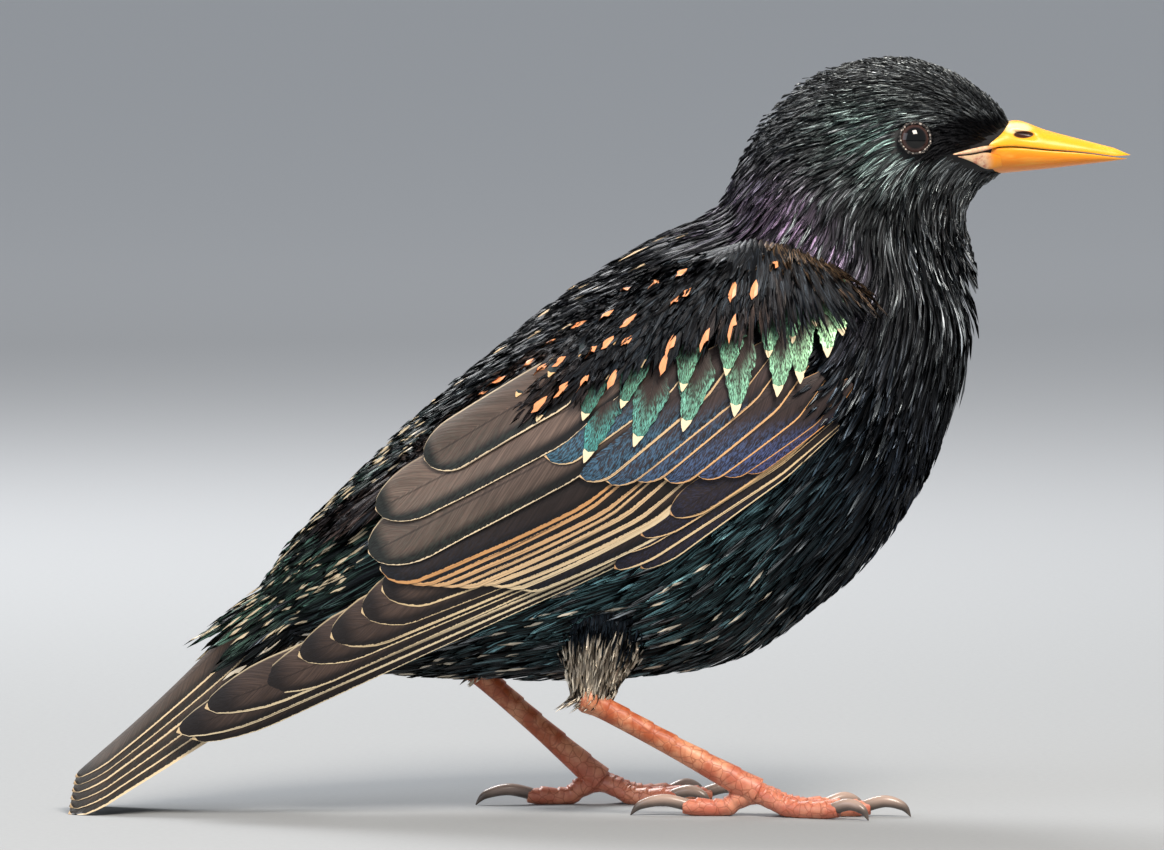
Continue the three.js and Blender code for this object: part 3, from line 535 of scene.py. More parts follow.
# first and last section, rows and columns of each blade
COAT = {"plumage_tail_end": (0, 3.0, 8, 5), "plumage_belly_back": (3.0, 5.2, 8, 5),
        "plumage_breast_mantle": (5.2, 7.3, 8, 5), "plumage_neck": (7.3, 9.4, 8, 5),
        "plumage_nape_throat": (9.4, 11.2, 7, 5), "plumage_crown": (11.2, 13.6, 5, 3),
        "plumage_face": (13.6, 17.1, 5, 3)}
for name, (start, end, rows, cols) in COAT.items():
    here = (root_t >= start) & (root_t < end)
    t, turn, topmost = root_t[here], root_turn[here], topness[here]
    size = chance.normal(1, 0.1, len(t))
    loose = chance.uniform(0, 1, len(t))
    # the throat's hackles and a few of the nape's stand off the outline
    lifted = np.where(topmost < -0.2, near(t, 11.0, 1.4) * (0.4 + 3.4 * loose**3),
                      near(t, 11, 1.6) * 1.1 * loose**6)
    # the hackles on the side of the neck sweep back towards the nape
    sweep = 0.55 * near(t, 10.6, 1.7) * np.abs(np.sin(turn)) * np.clip(topmost + 0.6, 0, 1)
    # breast feathers lap over the wing's bend
    lapped = near(root_along[here], -4, 6) * near(root_up[here], -8, 7)
    lifted = lifted + 2.6 * lapped
    uneven = chance.normal(0, 0.16, len(t)) * np.interp(t, [10, 12], [1, 0.6])
    swing = chance.normal(0, 0.09, len(t)) - np.sign(turn) * sweep
    blades = lay_plumes(
        body, t, turn, by_place(LENGTH, t, turn) * size, by_place(HALF, t, turn) * size, -coat_depth(t),
        0.1 + uneven + lifted, by_place(SHARPNESS, t, turn), rows, cols, swing)
    marks = {"gleam": gleam[here], "ground": ground[here], "spot": spot[here],
             "chance": chance.uniform(0, 1, len(t))}
    coat = blade_mesh(name, *blades, unwrapped(turn, 0.03 + 0.94 * t / body.last), marks, plume_finish)

# The folded wings. Real flight feathers are long stiff vanes on a hollow shaft, stacked like a fan of
# slats with only their outer edges bare, and tiers of shorter coverts lie over their roots. Each is a
# closed blade laid on the wing's own surface, placed by its root and tip along and above the body's axis.
WING_BED = [
    (134, 22.0, 6.0, 9.0, 0), (122, 22.5, 3.0, 10.6, 0), (110, 24.0, -1.0, 13.2, 0),
    (97, 26.0, -6.0, 16.4, 0.03), (84, 28.0, -12.0, 18.6, 0.06), (70, 29.6, -19.5, 20.6, 0.1),
]
bed = Form([trunk_section(*s) for s in WING_BED + TRUNK[3:]] + FORE[:3])
# how thick a flight feather's blade is, in millimetres
VANE_THICKNESS = 0.22
SIDES = ((-1, "right"), (1, "left"))


def vane_outline(s, narrowing, sharp):
    """Half width of a flight feather or covert along its length. It narrows over the last part of it,
    rounded (0) or straight to a point (1)."""
    part = np.clip((s - 1 + narrowing) / narrowing, 0, 1)
    return np.minimum(1, 0.3 + 2.4 * s) * (np.sqrt(np.clip(1 - part**2, 0.0004, 1)) * (1 - sharp)
                                           + np.clip(1 - part, 0.02, 1) * sharp)


def lay_vanes(side, roots, tips, half, bow, height, tilt, narrowing, sharp, fray=0.0, rows=24, cols=11):
    """Vanes on the wing's surface. height is at the root and at the tip, tilt is how far the lower edge
    stands out and fray how ragged the edges are."""
    count = len(roots)
    s = np.linspace(0, 1, rows)
    s = (1 - (1 - s) ** 1.3)[None, :]
    u = np.linspace(-1, 1, cols)[None, None, :]
    span = tips - roots
    length = np.linalg.norm(span, axis=1, keepdims=True)
    arch = bow[:, None] * 4 * s * (1 - s)
    along = roots[:, :1] + span[:, :1] * s - span[:, 1:] / length * arch
    up = roots[:, 1:] + span[:, 1:] * s + span[:, :1] / length * arch
    level = height[:, :1] + (height[:, 1:] - height[:, :1]) * s**0.7
    mid = bed.lift(*side_point(along, up), side, level)
    ahead = np.gradient(mid, axis=1)
    ahead /= np.linalg.norm(ahead, axis=-1, keepdims=True) + 1e-12
    _, out = bed.project(mid, 0 * level)
    across = np.cross(out, ahead) * side
    across /= np.linalg.norm(across, axis=-1, keepdims=True) + 1e-12
    wide = (vane_outline(s, narrowing, sharp) * half[:, None])[..., None]
    wide = wide * (1 + fray * chance.normal(0, 1, (count, rows, cols)) * np.abs(u))
    raised = level[..., None] - tilt * u * np.minimum(wide / half[:, None, None], 1)
    raised = raised + 0.05 * wide * (1 - u**2)
    top, normal = bed.project(mid[:, :, None] + across[:, :, None] * (wide * u)[..., None], raised)
    under = bed.project(mid, level - VANE_THICKNESS)[0]
    return faced(top, under, normal, (u + 1) / 2, s[..., None])



def hung(tips, long):
    """Roots of short coverts with these tips, which hang steeply at the shoulder and lie back behind it"""
    tips = np.array(tips, float)
    fall = np.radians(np.interp(tips[:, 0], [-2, 4, 20, 30, 43, 56], [64, 55, 50, 42, 32, 20]))
    long = long * np.interp(tips[:, 0], [-2, 7], [0.58, 1])[:, None]
    return tips - long * np.stack([np.cos(fall), -np.sin(fall)], -1)


# Tips of the feathers along and above the axis, from the top one down or from the rear one forwards
PRIMARY_TIPS = [(81.8, 12.1), (87.3, 11.6), (93.2, 11.5), (99.5, 12.3), (107.6, 12.0), (116.9, 14.6),
                (123.5, 13.9), (121.8, 12.0)]
COVERT_TIPS = [(47.7, 13.3), (45.6, 7.6), (42.3, 4.6), (38.6, 2.0), (34.8, -0.8), (30.6, -3.4), (27.5, -5.8),
               (24.5, -7.6)]
COVERT_ROOTS = [(17, 12.0), (12, 9.0), (9, 5.5), (7, 2.5), (6, -0.5), (4.5, -3.5), (3, -6.2), (2, -8.2)]
GREEN_TIPS = [(43.0, 9.1), (35.7, 6.1), (28.0, 2.8), (20.4, -0.1), (13.4, -1.7), (9.1, -2.4), (3.8, -2.1),
              (-0.5, -1.0)]
SECOND_TIPS = [(39.4, 13.9), (33.3, 11.5), (24.2, 7.8), (17.3, 5.5), (10.6, 3.9), (6.4, 3.2), (1.8, 3.2),
               (-2.6, 2.9)]
THIRD_TIPS = [(45.5, 17.6), (39.4, 17.9), (33.0, 16.0), (27.0, 14.6), (21.5, 13.4), (15.4, 11.8), (9.9, 9.9),
              (5.0, 8.0)]
FOURTH_TIPS = [(57.0, 22.8), (51.5, 21.4), (46.0, 21.6), (40.0, 21.5), (34.0, 20.6), (28.5, 19.6),
               (22.0, 17.9), (16.0, 16.6)]
# what the silky pointed coverts of the four upper tiers share
SILKY = dict(bow=(-0.3, -0.3), tilt=0.15, narrowing=0.55, sharp=0.75, fray=0.08, shadow=0.2,
             edge=("#2a2320", "#2a2320", 0.0))
# Half width, bow and the heights of root and tip run from a tier's first feather to its last, and so do
# the first two colours of gleam and edge. Their last value, and the tip's, is how much or how wide.
TIERS = {
    "primaries": dict(
        roots=np.linspace((36, -3), (24, -11), 8), tips=PRIMARY_TIPS, half=(4.8, 3.6), bow=(0, 0.3),
        low=(0.9, 0.2), high=(1.35, 0.75), tilt=0.35, narrowing=0.12, sharp=0.35, shadow=0.9,
        ground="#382c26", gleam=("#3c3a40", "#3c3a40", 0.1), edge=("#cdb48c", "#dccaa8", 0.04),
        tip=("#cbb18a", 0.007)),
    "secondaries": dict(
        roots=np.linspace((34, 5), (26, -6), 9), tips=np.linspace((80.5, 14.6), (64.5, 1.5), 9),
        half=(4.2, 3.8), bow=(-0.8, -1.2), low=(1.3, 1.0), high=(2.0, 1.5), tilt=0.4, narrowing=0.1,
        sharp=0.2, shadow=1.0, ground="#1d1614", gleam=("#2f3644", "#2f3644", 0.2),
        edge=("#bd8b5a", "#d6c3a0", 0.075), tip=("#cdb38c", 0.004)),
    "tertials": dict(
        roots=[(30, 19), (30, 14.5), (30, 10)], tips=[(63.5, 23.0), (74.8, 21.6), (80.2, 17.6)],
        half=(5.0, 5.4), bow=(0.4, 0.4), low=(2.0, 1.8), high=(2.9, 2.3), tilt=0.5, narrowing=0.16,
        sharp=0.15, shadow=1.0, ground="#4a3d36", gleam=("#56665c", "#56665c", 0.1),
        edge=("#d8c3a2", "#d8c3a2", 0.022), tip=("#cfb693", 0.004)),
    "primary_coverts": dict(
        roots=np.linspace((6, -7.5), (9, -12.5), 5), half=(2.8, 2.2), bow=(-0.5, 0.2), low=(0.6, 0.3),
        tips=[(38, -6.5), (43.5, -6.0), (48.5, -5.6), (50, -8.0), (47, -10.5)], high=(1.8, 1.2), tilt=0.3,
        narrowing=0.15, sharp=0.3, shadow=0.8, ground="#1c1615", gleam=("#34374c", "#34374c", 0.4),
        edge=("#d5ad7c", "#dcc49c", 0.07), tip=("#c09468", 0.01)),
    "greater_coverts": dict(
        roots=COVERT_ROOTS, tips=COVERT_TIPS, half=(3.9, 2.6), bow=(0, -0.3), low=(0.8, 0.2), high=(2.5, 2.1),
        tilt=0.4, narrowing=0.12, sharp=0.2, shadow=0.8, ground="#2b2120", gleam=("#4d7488", "#545c8c", 0.65),
        edge=("#cbb08a", "#d99a5c", 0.05), tip=("#d6b083", 0.012)),
    "green_coverts": SILKY | dict(
        roots=hung(GREEN_TIPS, 14.5), tips=GREEN_TIPS, half=(3.0, 2.4), bow=(-0.4, -0.3), low=(1.2, -0.5),
        high=(3.1, 2.7), narrowing=0.6, fray=0.07, ground="#281d19", gleam=("#579a92", "#b0deac", 1.0),
        tip=("#ead7b2", 0.13)),
    "second_coverts": SILKY | dict(
        roots=hung(SECOND_TIPS, 13), tips=SECOND_TIPS, half=(2.7, 2.2), bow=(-0.4, -0.3), low=(0.8, -2.2),
        high=(3.4, 2.2), fray=0.07, ground="#241a17", gleam=("#4b8272", "#8fc29a", 0.85),
        tip=("#e3cfa9", 0.09)),
    "third_coverts": SILKY | dict(
        roots=hung(THIRD_TIPS, 12), tips=THIRD_TIPS, half=(2.4, 2.0), low=(0.4, -2.0), high=(3.5, 3.3),
        ground="#141114", gleam=("#3d5a66", "#44705c", 0.5), tip=("#dcc29a", 0.1)),
    "scapulars": SILKY | dict(
        roots=hung(FOURTH_TIPS, 10), tips=FOURTH_TIPS, half=(2.3, 2.0), low=(-1.2, -2.2), high=(2.8, 3.3),
        sharp=0.7, ground="#0e0d10", gleam=("#2f4a44", "#30434c", 0.4), edge=("#3a322c", "#2a2320", 0.0),
        tip=("#d0a878", 0.09)),
}

# Wing vanes: brown-black keratin, silkier than the body feathers, with sharp pale edges where the
# pigment ends, and a metal gleam of green or violet on the outer half of the coverts. The barbs are
# drawn about twice as coarse as the real 0.3 mm bundles.
vane_finish, add, connect = new_finish("wing_and_tail_vanes", Roughness=0.48, Specular_IOR_Level=0.25)
across = add("SeparateXYZ", {}, {0: add("UVMap", {"uv_map": "vane"}, {})})
along = across.node.outputs[1]
own, slant, length, shadow = (
    add("Attribute", {"attribute_name": key}, {}, 2) for key in ("chance", "slant", "length", "shadow"))
ground_colour, worn_colour, gleam_colour, edge_colour, tip_colour = (
    add("Attribute", {"attribute_name": key}, {}) for key in ("ground", "worn", "gleam", "edge", "tip"))
aside = add("Math", SIZE, {0: add("Math", TIMES_PLUS, {0: across, 1: 2.0, 2: -1.0})})
from_tip = add("Math", LESS, {0: 1.0, 1: along})
# the barbs slant out from the shaft, and their noise is stretched along them
slanted = add("Math", LESS, {0: along, 1: add("Math", TIMES, {0: aside, 1: slant})})
drawn = add("Math", TIMES, {0: length, 1: 2.6})
barb_place, speckle_place, grain_place = (
    add("CombineXYZ", {}, {k: add("Math", TIMES, {0: part, 1: size}) for k, (part, size) in enumerate(parts)})
    for parts in (((slanted, drawn), (across, 2.5), (own, 53.0)),
                  ((slanted, drawn), (across, 20.0), (own, 53.0)),
                  ((along, 3.0), (across, 45.0), (own, 71.0))))
barbs = add("TexNoise", {}, {"Vector": barb_place, "Scale": 1.0, "Detail": 2.5, "Roughness": 0.6})
speckle = add("TexNoise", {}, {"Vector": speckle_place, "Scale": 0.95, "Detail": 2.0})
long_grain = add("TexNoise", {}, {"Vector": grain_place, "Scale": 1.0, "Detail": 2.0})
streak = add("MapRange", STEP, {0: barbs, 1: 0.35, 2: 0.75})
base = add("Mix", MIX, {0: streak, 6: ground_colour, 7: worn_colour}, 2)
# a dusky band inside the lower edge and the tip
inward = add("Math", {"operation": "SMOOTH_MIN"}, {
    0: add("Math", TIMES, {0: across, 1: 3.2}), 1: add("Math", TIMES, {0: from_tip, 1: 9.0}), 2: 0.4})
dusk = add("MapRange", STEP, {0: inward, 1: 0.8, 2: 0.3})
shaded = add("Mix", MIX, {0: add("Math", TIMES, {0: dusk, 1: shadow}), 6: base, 7: "#0e0b0b"}, 2)
# the gleam lies on the outer part of the vane and sparkles from barb to barb
sideward = add("Math", TIMES_PLUS, {0: aside, 1: 0.3, 2: along})
outer = add("MapRange", STEP, {0: sideward, 1: 0.42, 2: 0.95})
sparkle = add("MapRange", STEP, {0: speckle, 1: 0.34, 2: 0.56, 3: 0.1})
metal = add("Math", TIMES, {0: add("Math", TIMES, {0: outer, 1: gleam_colour.node.outputs[3]}), 1: sparkle})
glitter = add("VectorMath", {"operation": "SCALE"}, {
    0: gleam_colour, "Scale": add("MapRange", STEP, {0: speckle, 1: 0.4, 2: 0.66, 3: 0.45, 4: 1.5})})
gleaming = add("Mix", MIX, {0: metal, 6: shaded, 7: glitter}, 2)
# pale lower edge, a thin pale upper edge, and both rubbed away in places
wander = add("Math", TIMES_PLUS, {0: barbs, 1: 0.05, 2: across})
lower = add("Math", BELOW, {0: wander, 1: add("Math", PLUS, {0: edge_colour.node.outputs[3], 1: 0.02})})
upper = add("MapRange", STEP, {0: across, 1: 0.95, 2: 0.99, 4: 0.7})
rubbed = add("MapRange", STEP, {0: long_grain, 1: 0.5, 2: 0.72, 4: 0.75})
edge_worn = add("Mix", MIX, {0: rubbed, 6: edge_colour, 7: base}, 2)
edged = add("Mix", MIX, {0: add("Math", MOST, {0: lower, 1: upper}), 6: gleaming, 7: edge_worn}, 2)
# the pale tip is longer at its sides, and the shaft is a dark line a little off the middle
notch = add("Math", TIMES_PLUS, {0: aside, 1: 0.2, 2: 0.9})
tipped = add("Math", BELOW, {0: from_tip, 1: add("Math", TIMES, {0: tip_colour.node.outputs[3], 1: notch})})
by_shaft = add("Math", SIZE, {0: add("Math", LESS, {0: across, 1: 0.46})})
on_shaft = add("MapRange", STEP, {0: by_shaft, 1: 0.02, 2: 0.01, 4: 0.5})
shafted = add("Mix", MIX, {0: on_shaft, 6: edged, 7: "#171210"}, 2)
bare = add("Math", LESS, {0: 1.0, 1: add("Math", MOST, {0: lower, 1: tipped})})
connect(Base_Color=add("Mix", MIX, {0: tipped, 6: shafted, 7: tip_colour}, 2),
        Metallic=add("Math", TIMES, {0: metal, 1: bare}),
        Normal=add("Bump", {}, {"Strength": 0.5, "Distance": 0.0001, "Height": barbs}))


def between(first, last, count, alpha):
    """Colours from one hex value to another, with the same alpha"""
    return np.linspace(linear(first, alpha), linear(last, alpha), count)


def tier_marks(length, slant, ground, gleam, edge, tip, shadow):
    """The colours of one tier, a little different on each feather"""
    count = len(length)
    ground = plain(count, ground) * np.clip(chance.normal(1, 0.15, (count, 1)), 0.6, 1.4)
    edges = between(edge[0], edge[1], count, edge[2])
    edges[:, 3] *= np.clip(chance.normal(1, 0.25, count), 0.5, 1.35)
    return {"ground": ground, "worn": ground * 2.0, "gleam": between(gleam[0], gleam[1], count, gleam[2]),
            "edge": edges, "tip": plain(count, *tip), "shadow": np.full(count, float(shadow)),
            "length": length, "slant": slant, "chance": chance.uniform(0, 1, count)}


for side, name in SIDES:
    parts, patches, marks = [], [], []
    for k, tier in enumerate(TIERS.values()):
        count = len(tier["tips"])
        share = np.linspace(0, 1, count)
        half, bow, low, high = (tier[key][0] + (tier[key][1] - tier[key][0]) * share
                                for key in ("half", "bow", "low", "high"))
        tips = np.array(tier["tips"], float) + chance.normal(0, 0.2, (count, 2))
        roots = tier["roots"] + chance.normal(0, 0.4, (count, 2))
        parts.append(lay_vanes(side, roots, tips, half, bow, np.stack([low, high], -1), tier["tilt"],
                               tier["narrowing"], tier["sharp"], tier.get("fray", 0.0)))
        patches.append(np.stack([0.1 + 0.8 * share, np.full(count, 0.06 + k * 0.1)], -1))
        length = np.linalg.norm(tips - roots, axis=1)
        marks.append(tier_marks(length, 1.7 * half / length,
                                *(tier[key] for key in ("ground", "gleam", "edge", "tip", "shadow"))))
    blades = (np.concatenate(arrays) for arrays in zip(*parts))
    joined = {key: np.concatenate([m[key] for m in marks]) for key in marks[0]}
    wing = blade_mesh("wing_vanes_" + name, *blades, np.concatenate(patches), joined, vane_finish)
    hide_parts("wing_" + name)

# The shoulder's smallest coverts and the mantle beside them are soft feathers laid over the roots of the
# larger coverts: hair-like and brown-black at the shoulder's front, then black with an orange buff spot
# on one in several. They are narrow blades like those of the body, turned down at the front.
for side, name in SIDES:
    t, turn = scatter(bed, 4.6, 11.3, lambda t, turn: 0.85 + 0 * t)
    along, up = along_and_up(bed.point(t, turn))
    in_front = along - np.interp(up, [0, 2, 6, 10, 13, 17, 21, 25], [-8.5, -9.8, -9.6, -8, -6, -3.5, 0.5, 6])
    below = np.interp(along, [-8, 0, 8, 20, 40, 60], [12, 20, 24, 27, 28.5, 28]) - up
    above = up - np.interp(along, [-9, -3, 6, 14, 21, 28, 36, 60], [3, 8, 12, 14.5, 16.5, 18, 19.5, 23.5])
    over_shoulder = (turn * side > 0) & (in_front > 0) & (below > 0) & (above > 0)
    t, turn, along, up, in_front, below = (
        values[over_shoulder] for values in (t, turn, along, up, in_front, below))
    brink = np.clip(1 - np.minimum(in_front, below) / 3.5, 0, 1)
    count = len(t)
    front = np.clip((16 - along) / 12, 0, 1) * np.clip((16 - up) / 4, 0, 1)
    rear = np.clip((along - 26) / 10, 0, 1)
    fall = np.interp(along, [-8, 4, 20, 30, 43, 56], [72, 58, 46, 38, 28, 16])
    fall = fall * np.interp(up, [10, 16, 22, 28], [1, 0.75, 0.3, 0.05])
    fall = np.radians(fall) + chance.normal(0, 0.13, count)
    # the height of the coverts under each root and each tip
    root_level, tip_level = (
        np.interp(u, [5, 10, 16, 20, 23, 26, 28], [3.4, 3.9, 3.8, 3.0, 1.8, 0.5, -0.4])
        * np.interp(a, [-10, -5, 1, 44, 62], [0.0, 0.6, 1, 1, 0.5])
        for a, u in ((along, up), (along + 7 * np.cos(fall), up - 7 * np.sin(fall))))
    spotted = thinned((front < 0.3) & (along < 50) & (below > 1), along, up, 3.0)
    rim = near(along, np.interp(up, [0, 2, 6, 10, 13, 17], [-7.4, -8.6, -8.4, -6.8, -4.6, -1.5]), 0.8)
    blades = lay_plumes(
        bed, t, turn, chance.normal(7.6, 0.8, count) * (1 - 0.65 * rim) * (1 + 0.2 * rear),
        0.75 - 0.35 * front + 0.45 * spotted + 0.2 * rear, root_level - 0.35 - 2.4 * brink,
        tip_level + 0.25 + 0.3 * spotted + chance.normal(0, 0.15, count), 0.75 - 0.3 * spotted, 8, 5,
        swing=fall * side, wild=0.2)
    brown = np.maximum(near(along, 8, 6) * np.clip((16 - up) / 4, 0, 1), 0.8 * rear)
    brown = chance.uniform(0, 1, count) * brown
    sheen = plain(count, "#20262c") * chance.uniform(0.3, 1.8, (count, 1))
    sheen = shade(shade(sheen, brown**1.2, "#5c483f"), rim, "#a98663")
    marks = {"gleam": sheen, "ground": shade(plain(count, "#0b0b0e"), 0.9 * brown, "#1c1512"),
             "chance": chance.uniform(0, 1, count),
             "spot": plain(count, "#e29360", 0.27) * np.where(spotted[:, None], 1, [1, 1, 1, 0])}
    soft = blade_mesh("shoulder_plumes_" + name, *blades, unwrapped(turn, 0.2 + 0.05 * t), marks,
                      plume_finish)

# The tail. Twelve real tail feathers fold over each other like a hand of cards, the middle pair on top.
# Each is a stiff vane like the wing's, with its quill fixed in the rump. They are laid on one arched sheet,
# given by its ridge, how far its edges drop and its half width from the root to the end.
TAIL = {"root": 85, "end": 147, "ridge": np.array([26.0, 21.8, 19.3, 18.35]),
        "drop": np.array([16.0, 11.0, 6.6, 4.0]), "half": np.array([7.5, 8.2, 9.2, 10.4])}
# the tip of the tail just clears the floor, in millimetres
FLOOR_GAP = 0.05


def tail_sheet(along, out, height):
    """A place on the arch of the tail, by its distance back and out from the middle, and the normal there"""
    def at(a, y):
        f = (a - TAIL["root"]) / (TAIL["end"] - TAIL["root"]) * 3
        fall = curve_through(TAIL["drop"], f) * np.abs(y / curve_through(TAIL["half"], f)) ** 1.5
        x, z = side_point(a, curve_through(TAIL["ridge"], f) - fall)
        return np.stack([x, y + 0 * x, z], -1)
    step = 0.05
    normal = np.cross(at(along + step, out) - at(along - step, out),
                      at(along, out + step) - at(along, out - step))
    normal /= np.linalg.norm(normal, axis=-1, keepdims=True)
    normal *= np.sign(normal[..., 2:])
    place = at(along, out) + normal * np.asarray(height)[..., None]
    place[..., 2] = np.maximum(place[..., 2], FLOOR_GAP)
    return place, normal


# from the middle feather outwards on each side: where it ends, how deep it lies in the stack, and how far
# out its root and tip are
order = np.tile(np.arange(6), 2)[:, None, None]
flank = np.repeat([-1.0, 1.0], 6)[:, None, None]
tip_along, depth = 141.5 + order * 0.85, order * 0.28
root_out, tip_out = 0.8 + order * 0.95, 1.5 + order * 1.35
s = (1 - (1 - np.linspace(0, 1, 24)) ** 1.3)[None, :, None]
u = np.linspace(-1, 1, 11)[None, None, :]
back = TAIL["root"] + (tip_along - TAIL["root"]) * s
out = flank * (root_out * (1 - s) + tip_out * s)
wide = (3.4 - 1.3 * (1 - s)) * vane_outline(s, 0.1, 0.25)
level = -depth - 0.12 * u * flank + 0.06 * wide * (1 - u**2)
top, normal = tail_sheet(back + 0 * u, out + u * wide, level)
under = tail_sheet(back[..., 0], out[..., 0], -depth[..., 0] - VANE_THICKNESS + 0 * s[..., 0])[0]
inward = np.where(flank > 0, 1 - (u + 1) / 2, (u + 1) / 2)
tail_marks = tier_marks(np.full(12, 58.0), np.full(12, 0.08), "#3a2e27", ("#39423e", "#39423e", 0.2),
                        ("#cdb692", "#cdb692", 0.045), ("#b89c78", 0.008), 0.7)
tail = blade_mesh("tail_vanes", *faced(top, under, normal, inward, s),
                  np.stack([0.08 + 0.076 * np.arange(12), np.full(12, 0.96)], -1), tail_marks, vane_finish)
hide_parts("tail")

# The bill: two long plates of smooth yellow horn over bone, tapered to a point, deeper orange below the
# mouth line. The nostrils are slits under a thin pale flap.
# millimetres: places along the bill, then the height of crown, mouth line and chin and the half width there
BILL_X = np.array([66.5, 70.0, 74.0, 79.0, 85.0, 90.0])
BILL = {"crown": np.array([109.4, 111.0, 112.5, 110.9, 109.3, 108.0]),
        "mouth": np.array([107.6, 108.2, 108.3, 107.8, 107.3, 106.6]),
        "chin": np.array([103.2, 103.7, 104.1, 104.6, 105.3, 105.9]),
        "half": np.array([7.3, 6.5, 5.0, 3.9, 2.7, 1.5])}
NOSTRIL = {"x": 75.2, "z": 110.3, "long": 1.8, "high": 0.5, "deep": 0.9, "slope": -0.16}
MOUTH_GAP = 0.1


def mandible(upper):
    """Rings of one half of the bill, from the root out to the point"""
    turn = np.linspace(0, math.pi, 41)
    inner = np.linspace(-1, 1, 9)[1:-1]
    rings = []
    for t in np.linspace(0, len(BILL_X) - 1, 60):
        x, half, mouth = (curve_through(row, t) for row in (BILL_X, BILL["half"], BILL["mouth"]))
        far = curve_through(BILL["crown" if upper else "chin"], t)
        edge = mouth + (MOUTH_GAP if upper else -MOUTH_GAP)
        y = half * np.cos(turn) * (1 if upper else 0.95)
        z = edge + (far - edge) * np.sin(turn) ** 0.85
        if upper:
            # the slit of the nostril, and the flap that swells above it
            rise = z - NOSTRIL["z"] - NOSTRIL["slope"] * (x - NOSTRIL["x"])
            slit = np.exp(-(((x - NOSTRIL["x"]) / NOSTRIL["long"]) ** 4) - (rise / NOSTRIL["high"]) ** 4)
            flap = np.exp(-(((x - NOSTRIL["x"] + 0.6) / 2.4) ** 4) - ((rise - 0.9) / 0.6) ** 2)
            y = y - np.sign(y) * (slit * NOSTRIL["deep"] - flap * 0.25)
        rings.append(np.concatenate([np.stack([0 * y + x, y, z], -1),
                                     np.stack([0 * inner + x, inner * y[0], 0 * inner + edge], -1)]))
    last = rings[-1]
    point = np.array([BILL_TIP_X - (0 if upper else 0.5), 0, 106.6 + (0.25 if upper else -0.35)])
    for share in (0.3, 0.6, 0.8, 0.92, 0.98):
        rings.append(last + (point - last) * (share, share**1.6, share))
    return rings


# Bill horn: translucent keratin, satin smooth, warm yellow above and orange below, whiter at the nostril
# flap and cream where it meets the face. The fine streaks of growth run along it.
horn_finish, add, connect = new_finish("yellow_bill_horn", Roughness=0.33, Subsurface_Weight=0.12,
                                       Subsurface_Scale=0.002, Specular_IOR_Level=0.45)
spot_at = add("TexCoord", {}, {}, 3)
reach = add("SeparateXYZ", {}, {0: spot_at})
height = reach.node.outputs[2]
long_grain = add("Mapping", {}, {0: spot_at, 3: (60.0, 500.0, 900.0)})
grain = add("TexNoise", {}, {"Vector": long_grain, "Scale": 1.0, "Detail": 3.0})
blotch = add("TexNoise", {}, {"Vector": spot_at, "Scale": 380.0, "Detail": 3.0})
# the mouth line falls towards the tip by this much a metre
level = add("Math", TIMES_PLUS, {0: reach, 1: 0.085, 2: height})
low = add("MapRange", STEP, {0: level, 1: 0.1145, 2: 0.1125})
yellow = add("Mix", MIX, {0: low, 6: "#f7a81c", 7: "#f18a0a"}, 2)
streak = add("MapRange", STEP, {0: grain, 1: 0.5, 2: 0.75, 4: 0.45})
worn = add("Mix", MIX, {0: streak, 6: yellow, 7: "#f5c456"}, 2)
wavering = add("Math", TIMES_PLUS, {0: blotch, 1: 0.004, 2: reach})
fleshy = add("MapRange", STEP, {0: wavering, 1: 0.0665, 2: 0.0615})
low_down = add("MapRange", STEP, {0: height, 1: 0.1085, 2: 0.1072})
based = add("Mix", MIX, {0: add("Math", TIMES, {0: fleshy, 1: low_down}), 6: worn, 7: "#e2ab86"}, 2)
# how far a point is from the middle of the flap and of the slit, in shares of their size
flap_off, slit_off = (
    add("VectorMath", {"operation": "LENGTH"}, {0: add("VectorMath", TIMES_PLUS, {
        0: spot_at, 1: (per_x, 0.0, per_z), 2: (-per_x * (x - MIDDLE_X) / 1000, 0.0, -per_z * z / 1000)})}, 1)
    for per_x, per_z, x, z in ((400.0, 1000.0, NOSTRIL["x"] - 1.0, NOSTRIL["z"] + 1.0),
                               (560.0, 1600.0, NOSTRIL["x"], NOSTRIL["z"])))
flap_pale = add("MapRange", STEP, {0: flap_off, 1: 1.1, 2: 0.6, 4: 0.9})
# painted shade: the nostril's slit is darkened where its hollow would lie in shadow
painted_slit_shade = add("MapRange", STEP, {0: slit_off, 1: 1.05, 2: 0.8})
flapped = add("Mix", MIX, {0: flap_pale, 6: based, 7: "#ecd3a4"}, 2)
connect(Base_Color=add("Mix", MIX, {0: painted_slit_shade, 6: flapped, 7: "#35170f"}, 2),
        Normal=add("Bump", {}, {"Strength": 0.25, "Distance": 0.0001, "Height": grain}))
for upper, name in ((True, "bill_upper"), (False, "bill_lower")):
    horn = bridged(mandible(upper), name + "_horn", horn_finish)
    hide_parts(name)

